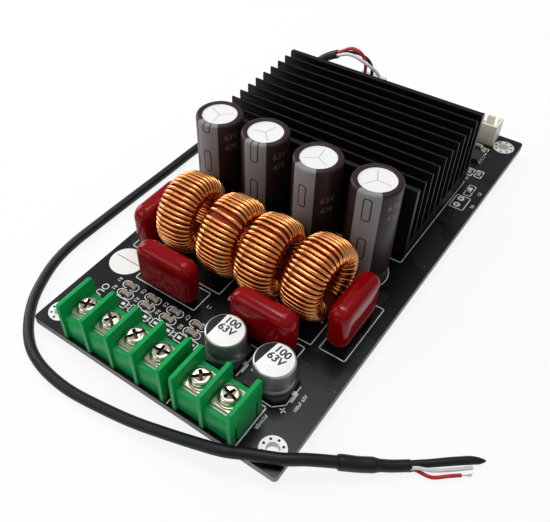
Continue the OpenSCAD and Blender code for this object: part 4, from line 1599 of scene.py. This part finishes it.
@dataclass
class Toroid:
    """One toroid standing on edge: its core and its winding.

    Attributes:
        index: Number of its CAD nodes.
        x: Place from the board's left edge in millimetres.
        y: Place from the board's front edge in millimetres.
        turn: Turn about the vertical in degrees.
        gap: Angle where the turns stand apart, in degrees, or none.
        spread: How far they stand apart, in degrees.
        axis: Height of its axis above the board in millimetres.
        outer: Reach of the wire's middle outside the core in millimetres.
        inner: Reach of the wire's middle in the hole in millimetres.
        side: Half width of a turn, to the wire's middle, in millimetres.
        wire: Radius of the wire in millimetres.
        turns: Number of turns.
        first: Angle of the first turn in degrees.
        arc: Angle from the first turn to the last in degrees.
        rim: Rounding of a turn outside the core, out from the axis and along it.
        bore: Rounding of a turn in the hole, out from the axis and along it.
        slack: Gap between the wire and the core in millimetres.
        layer: How far every second turn lies further in the hole in millimetres.
        sway: How far a turn may lean to either side in degrees.
        lead: Place of the wire's ends along the axis and across it in millimetres.
        feet: Heights of the ends' points from the axis in millimetres.
    """

    index: int
    x: float
    y: float
    turn: float
    gap: Optional[float] = None
    spread: float = 0.0
    axis: float = 11.02
    outer: float = 10.35
    inner: float = 5.855
    side: float = 5.0
    wire: float = 0.475
    turns: int = 42
    first: float = -70.0
    arc: float = 320.0
    rim: Spot = (2.5, 3.6)
    bore: Spot = (1.9, 3.2)
    slack: float = 0.1
    layer: float = 0.62
    sway: float = 0.5
    lead: Spot = (4.04, 3.487)
    feet: Sequence[float] = (-14.7, -12.5, -10.4)

    def loop(self, inner: float, outer: float) -> list[Spot]:
        """Draws one turn of wire round the core's section.

        Args:
            inner: Its reach in the hole in millimetres.
            outer: Its reach outside the core in millimetres.

        Returns:
            Its points, along the axis and out from it, in millimetres.
        """
        points = [(-0.8, outer), (0.0, outer + 0.02), (0.8, outer)]
        rim, bore = (outer - self.rim[0], self.rim), (inner + self.bore[0], self.bore)
        quarters = ((rim, 1, 90), (bore, 1, 0), (bore, -1, -90), (rim, -1, -180))
        for (middle, (out, along)), side, start in quarters:
            for step in range(6):
                turn = math.radians(start - 18 * step)
                points.append(
                    (side * (self.side - along) + along * math.cos(turn), middle + out * math.sin(turn))
                )
        return points

    def angle(self, step: float) -> float:
        """Finds where a point of the winding lies, with the turns parted at the gap.

        Args:
            step: Turns since the first.

        Returns:
            The angle in degrees.
        """
        plain = self.first + self.arc * step / (self.turns - 1)
        if self.gap is None:
            return plain
        off = plain - self.gap
        return plain + self.spread * math.tanh(off / 5.0) * math.exp(-((off / 45.0) ** 2))

    def line(self) -> list[Vector]:
        """Winds the wire.

        Returns:
            Its line in the toroid's own place, in millimetres.
        """
        chance = random.Random(40 + self.index)
        sways = [chance.uniform(-self.sway, self.sway) for _ in range(self.turns + 1)]
        points = []
        for index in range(self.turns):
            inner = self.inner - (self.layer if index % 2 else 0.0) + chance.uniform(-0.05, 0.05)
            outer = self.outer + chance.uniform(-0.04, 0.03)
            whole = self.loop(inner, outer)
            for part, (along, reach) in enumerate(whole[:3] if index == self.turns - 1 else whole):
                share = part / len(whole)
                sway = sways[index] * (1 - share) + sways[index + 1] * share
                a = math.radians(self.angle(index + share) + sway)
                points.append(Vector((along, reach * math.cos(a), reach * math.sin(a))))
        along, across = self.lead
        head = [Vector((-along, across, z)) for z in self.feet]
        tail = [Vector((along, -across, z)) for z in reversed(self.feet)]
        return head + points + tail

    def core_profile(self) -> list[Spot]:
        """Draws the core's section.

        Returns:
            A closed line, out from the axis and along it, in millimetres.
        """
        profile = []
        rim, bore = (self.outer - self.rim[0], self.rim), (self.inner + self.bore[0], self.bore)
        inset = self.wire + self.slack
        quarters = ((rim, 1, 0), (bore, 1, 90), (bore, -1, 180), (rim, -1, 270))
        for (middle, (out, along)), side, start in quarters:
            for step in range(7):
                turn = math.radians(start + 15 * step)
                reach = middle + (out - inset) * math.cos(turn)
                profile.append((reach, side * (self.side - along) + (along - inset) * math.sin(turn)))
        return [*profile, profile[0]]

    def build(self) -> None:
        """Makes the winding and the core."""
        turned = Matrix.Rotation(math.radians(self.turn), 4, "Z")
        place = Matrix.Translation(deck(self.x, self.y, self.axis)) @ turned
        line = [place @ (point * MM) for point in self.line()]
        node = "toroid_winding_%d" % self.index
        winding = Bench.tube(node + "_dressed", line, self.wire, PALETTE.copper, 2)
        Bench.hang(winding, Slot.COPPER, replaces=[node])
        core = Bench.revolve(self.core_profile(), 96)
        core.transform(place @ Matrix.Rotation(TURN / 4, 4, "Y"))
        node = "toroid_core_%d" % self.index
        Bench.piece(node + "_dressed", core, [PALETTE.core], Slot.CORE, replaces=[node])


@dataclass
class FilmCapacitor:
    """One dipped film capacitor.

    Attributes:
        index: Number of its CAD node.
        x: Place from the board's left edge in millimetres.
        y: Place from the board's front edge in millimetres.
        turn: Turn about the vertical in degrees.
        length: Length in millimetres.
        thickness: Thickness in millimetres.
        height: Height in millimetres.
        lift: Gap below it in millimetres.
        edge: Radius of the edges round its broad faces in millimetres.
        corner: Radius of the corners of its broad faces in millimetres.
        crown: How far its broad faces swell in millimetres.
        lead: Place of each lead from its middle in millimetres.
        neck: Lower and upper radius of the resin that runs down a lead in millimetres.
        neck_height: Height of that resin in millimetres.
    """

    index: int
    x: float
    y: float
    turn: float
    length: float = 17.5
    thickness: float = 6.0
    height: float = 13.2
    lift: float = 0.8
    edge: float = 2.3
    corner: float = 3.2
    crown: float = 0.2
    lead: float = 6.25
    neck: Spot = (0.6, 1.5)
    neck_height: float = 1.6

    @staticmethod
    def runs_across(edge: bmesh.types.BMEdge, thickness: float) -> bool:
        """Tells whether an edge runs through the whole thickness, in metres."""
        return abs(edge.verts[0].co.y - edge.verts[1].co.y) > 0.5 * thickness

    @staticmethod
    def on_rim(edge: bmesh.types.BMEdge, thickness: float) -> bool:
        """Tells whether an edge lies on a broad face's rim, with the thickness in metres."""
        return all(abs(v.co.y) > 0.499 * thickness for v in edge.verts)

    def build(self) -> None:
        """Makes the capacitor."""
        bm = bmesh.new()
        size = Vector((self.length, self.thickness, self.height)) * MM
        size.y -= 2 * self.crown * MM
        bmesh.ops.create_cube(bm, size=1.0, matrix=Matrix.Diagonal((*size, 1.0)))
        for radius, steps, across in ((self.corner, 9, True), (self.edge, 8, False)):
            chosen = [e for e in bm.edges if self.runs_across(e, size.y) == across]
            chosen = [e for e in chosen if across or self.on_rim(e, size.y)]
            bmesh.ops.bevel(
                bm, geom=chosen, offset=radius * MM, offset_type="OFFSET", segments=steps, profile=0.5,
                affect="EDGES", material=-1, clamp_overlap=False,
            )
        for face in [f for f in bm.faces if abs(f.normal.y) > 0.999]:
            out = Vector((0, math.copysign(self.crown * MM, face.normal.y), 0))
            for shrink, share in ((0.76, 0.6), (0.6, 0.4)):
                face = bmesh.ops.extrude_discrete_faces(bm, faces=[face])["faces"][0]
                bmesh.ops.scale(bm, vec=(shrink, 1, shrink), verts=face.verts[:])
                bmesh.ops.translate(bm, vec=out * share, verts=face.verts[:])
        bmesh.ops.translate(bm, vec=(0, 0, (self.lift + self.height / 2) * MM), verts=bm.verts[:])
        for side in (-1, 1):
            bmesh.ops.create_cone(
                bm, cap_ends=True, segments=24, radius1=self.neck[0] * MM, radius2=self.neck[1] * MM,
                depth=self.neck_height * MM,
                matrix=Matrix.Translation((side * self.lead * MM, 0, (self.lift + 0.25) * MM)),
            )
        bm.transform(
            Matrix.Translation(deck(self.x, self.y)) @ Matrix.Rotation(math.radians(self.turn), 4, "Z")
        )
        node = "film_capacitor_%d" % self.index
        Bench.piece(node + "_dressed", bm, [PALETTE.film], Slot.FILM, replaces=[node], crease=60.0)


@dataclass
class SurfaceCan:
    """One surface-mount capacitor: can, base and printed value.

    Attributes:
        index: Number of its CAD nodes.
        x: Place from the board's left edge in millimetres.
        y: Place from the board's front edge in millimetres.
        turn: Turn of its print in degrees.
        height: Height of its top above the board in millimetres.
        top_reach: Radius of the lacquered top in millimetres.
        rows: Rows of the printed value, with their rise from the middle in millimetres.
        type_size: Size of the type in millimetres.
        profile: Radius and height of the can's points in millimetres.
    """

    index: int
    x: float
    y: float
    turn: float
    height: float = 8.8
    top_reach: float = 4.5
    rows: Sequence[tuple[str, float]] = (("100", 2.55), ("63V", 0.2))
    type_size: float = 2.75
    profile: Sequence[Spot] = (
        (0, 1.5), (4.6, 1.5), (4.85, 1.6), (4.9, 1.75), (4.9, 2.2), (4.75, 2.5), (4.45, 2.75), (4.4, 2.9),
        (4.45, 3.05), (4.75, 3.3), (4.9, 3.6), (4.9, 8.3), (4.85, 8.55), (4.7, 8.72), (4.45, 8.8),
        (0, 8.8),
    )

    def build(self) -> None:
        """Makes the can and its print, and paints the base."""
        bm = Bench.revolve(self.profile, 72)
        Bench.flat_chart(bm, math.radians(-self.turn))
        for face in bm.faces:
            middle = face.calc_center_median() / MM
            face.material_index = int(middle.z > self.height - 0.05 and middle.xy.length < self.top_reach)
        bm.transform(Matrix.Translation(deck(self.x, self.y)))
        node = "smd_can_%d" % self.index
        Bench.piece(node + "_dressed", bm, [PALETTE.can, PALETTE.can_top], Slot.CAN, replaces=[node])
        ink = Ink(self.height, 0.015)
        turned = Matrix.Rotation(math.radians(self.turn), 2)
        for text, rise in self.rows:
            x, y = Vector((self.x, self.y)) + turned @ Vector((0.15, rise))
            ink.word(text, (x, y), self.type_size, self.turn, 0.03)
        ink.done("can_value_%d" % self.index, PALETTE.ink, Slot.BASE)
        Bench.softened("smd_base_%d" % self.index, PALETTE.base, Slot.BASE, 0.12)


@dataclass
class Connectors:
    """Screw terminals and headers, and the bare metal of the board's parts.

    Attributes:
        ways: Number of screws.
        edge: Rounding of the green mouldings in millimetres.
        drive_reach: Radius within which a screw's drive recess lies in millimetres.
        drive_depth: Its depth in millimetres.
    """

    ways: int = 6
    edge: float = 0.16
    drive_reach: float = 2.45
    drive_depth: float = 1.3

    def screw(self, node: str, body: str) -> None:
        """Makes a terminal screw whose drive recess is painted dark, as painted shade.

        Args:
            node: The CAD node that it stands for.
            body: The body that it rides on.
        """
        low, high = (Vector(corner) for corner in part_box(node))
        bm = Bench.rounded(node, 0.08)
        bm.normal_update()
        for face in bm.faces:
            middle = face.calc_center_median()
            reach = (middle - (low + high) / 2).xy.length / MM
            depth = (high.z - middle.z) / MM
            wall = abs(face.normal.z) < 0.4 and 0.05 < depth < self.drive_depth
            floor = face.normal.z > 0.7 and 0.6 < depth < self.drive_depth
            # Faces in the drive recess take the dark finish: painted shade in the recess.
            face.material_index = int(reach < self.drive_reach and (wall or floor))
        Bench.piece(
            node + "_dressed", bm, [PALETTE.nickel, PALETTE.recess], Slot.SCREW, body, [node], 40.0
        )

    def build(self) -> None:
        """Makes the connectors."""
        for node in ("output_terminal", "power_terminal"):
            Bench.softened(node, PALETTE.green, Slot.GREEN, self.edge)
        for way in range(1, self.ways + 1):
            self.screw("terminal_screw_%d" % way, "screw_%d" % way)
            Bench.softened("clamp_washer_%d" % way, PALETTE.washer, Slot.SCREW, 0.1, "clamp_%d" % way)
        for node in ("fan_header", "input_header"):
            Bench.softened(node, PALETTE.ivory, Slot.IVORY, 0.14)
        bare_metal = ["terminal_contacts", "header_pins", "smd_tabs", "bulk_leads", "film_leads"]
        Bench.dress(bare_metal, PALETTE.tinned)


@dataclass
class SmallChips:
    """The small chips: ceramic bodies with a sloped fillet of solder at each end.

    Attributes:
        body: Half length of the ceramic as a share of the chip's length.
        girth: Half width of the ceramic as a share of the chip's width.
        rise: Height of the ceramic as a share of the chip's height.
        lip: How far the solder stands out beside the ceramic in millimetres.
        slope: How far the solder falls to its outer end, as a share of the chip's height.
        edge: Rounding of the edges in millimetres.
        lit: Which of them is the indicator lamp.
    """

    body: float = 0.31
    girth: float = 0.42
    rise: float = 0.94
    lip: float = 0.06
    slope: float = 0.72
    edge: float = 0.07
    lit: int = 10

    @staticmethod
    def block(bm: bmesh.types.BMesh, low: Point, high: Point) -> list[bmesh.types.BMVert]:
        """Adds a box.

        Args:
            bm: The shape that it is added to.
            low: Its lowest corner in millimetres.
            high: Its highest corner in millimetres.

        Returns:
            Its corners.
        """
        a, b = Vector(low) * MM, Vector(high) * MM
        place = Matrix.Translation((a + b) / 2) @ Matrix.Diagonal((*(b - a), 1.0))
        return bmesh.ops.create_cube(bm, size=1.0, matrix=place)["verts"]

    def build(self) -> None:
        """Makes the bodies and the soldered ends."""
        bodies, ends = bmesh.new(), bmesh.new()
        for index, (x, y, length, width, height, turn) in enumerate(TERMINAL_CHIPS + RIGHT_CHIPS):
            place = Matrix.Translation(deck(x, y)) @ Matrix.Rotation(math.radians(turn), 4, "Z")
            half, wide = self.body * length, self.girth * width
            made = self.block(bodies, (-half, -wide, 0.02), (half, wide, height * self.rise))
            for face in {f for v in made for f in v.link_faces}:
                face.material_index = int(index == self.lit)
            bmesh.ops.transform(bodies, matrix=place, verts=made)
            for side in (-1, 1):
                near, far = sorted((side * half, side * length / 2))
                made = self.block(ends, (near, -wide - self.lip, 0.0), (far, wide + self.lip, height))
                outer = [v for v in made if v.co.x * side > (half + 0.1) * MM and v.co.z > 0.1 * MM]
                bmesh.ops.translate(ends, vec=(0, 0, -self.slope * height * MM), verts=outer)
                bmesh.ops.transform(ends, matrix=place, verts=made)
        for bm in (bodies, ends):
            bmesh.ops.bevel(
                bm, geom=bm.edges[:], offset=self.edge * MM, offset_type="OFFSET", segments=2, profile=0.5,
                affect="EDGES", material=-1, clamp_overlap=True,
            )
        Bench.piece(
            "chip_bodies_dressed", bodies, [PALETTE.ceramic, PALETTE.lamp], Slot.CERAMIC,
            replaces=["chip_bodies"],
        )
        Bench.piece("chip_ends_dressed", ends, [PALETTE.solder], Slot.TINNED, replaces=["chip_ends"])


def main() -> None:
    """Builds the whole object and its studio."""
    logging.basicConfig(level=logging.INFO)
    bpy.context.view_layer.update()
    Studio().build()
    InputLead().build()
    CircuitBoard().build()
    Heatsink().build()
    for index, row in enumerate(BULK_CAPACITORS, 1):
        BulkCapacitor(index, *row).build()
    for index, row in enumerate(TOROIDS, 1):
        Toroid(index, *row).build()
    for index, row in enumerate(FILM_CAPACITORS, 1):
        FilmCapacitor(index, *row).build()
    for index, row in enumerate(SURFACE_CANS, 1):
        SurfaceCan(index, *row).build()
    Connectors().build()
    SmallChips().build()


if __name__ == "__main__":
    main()
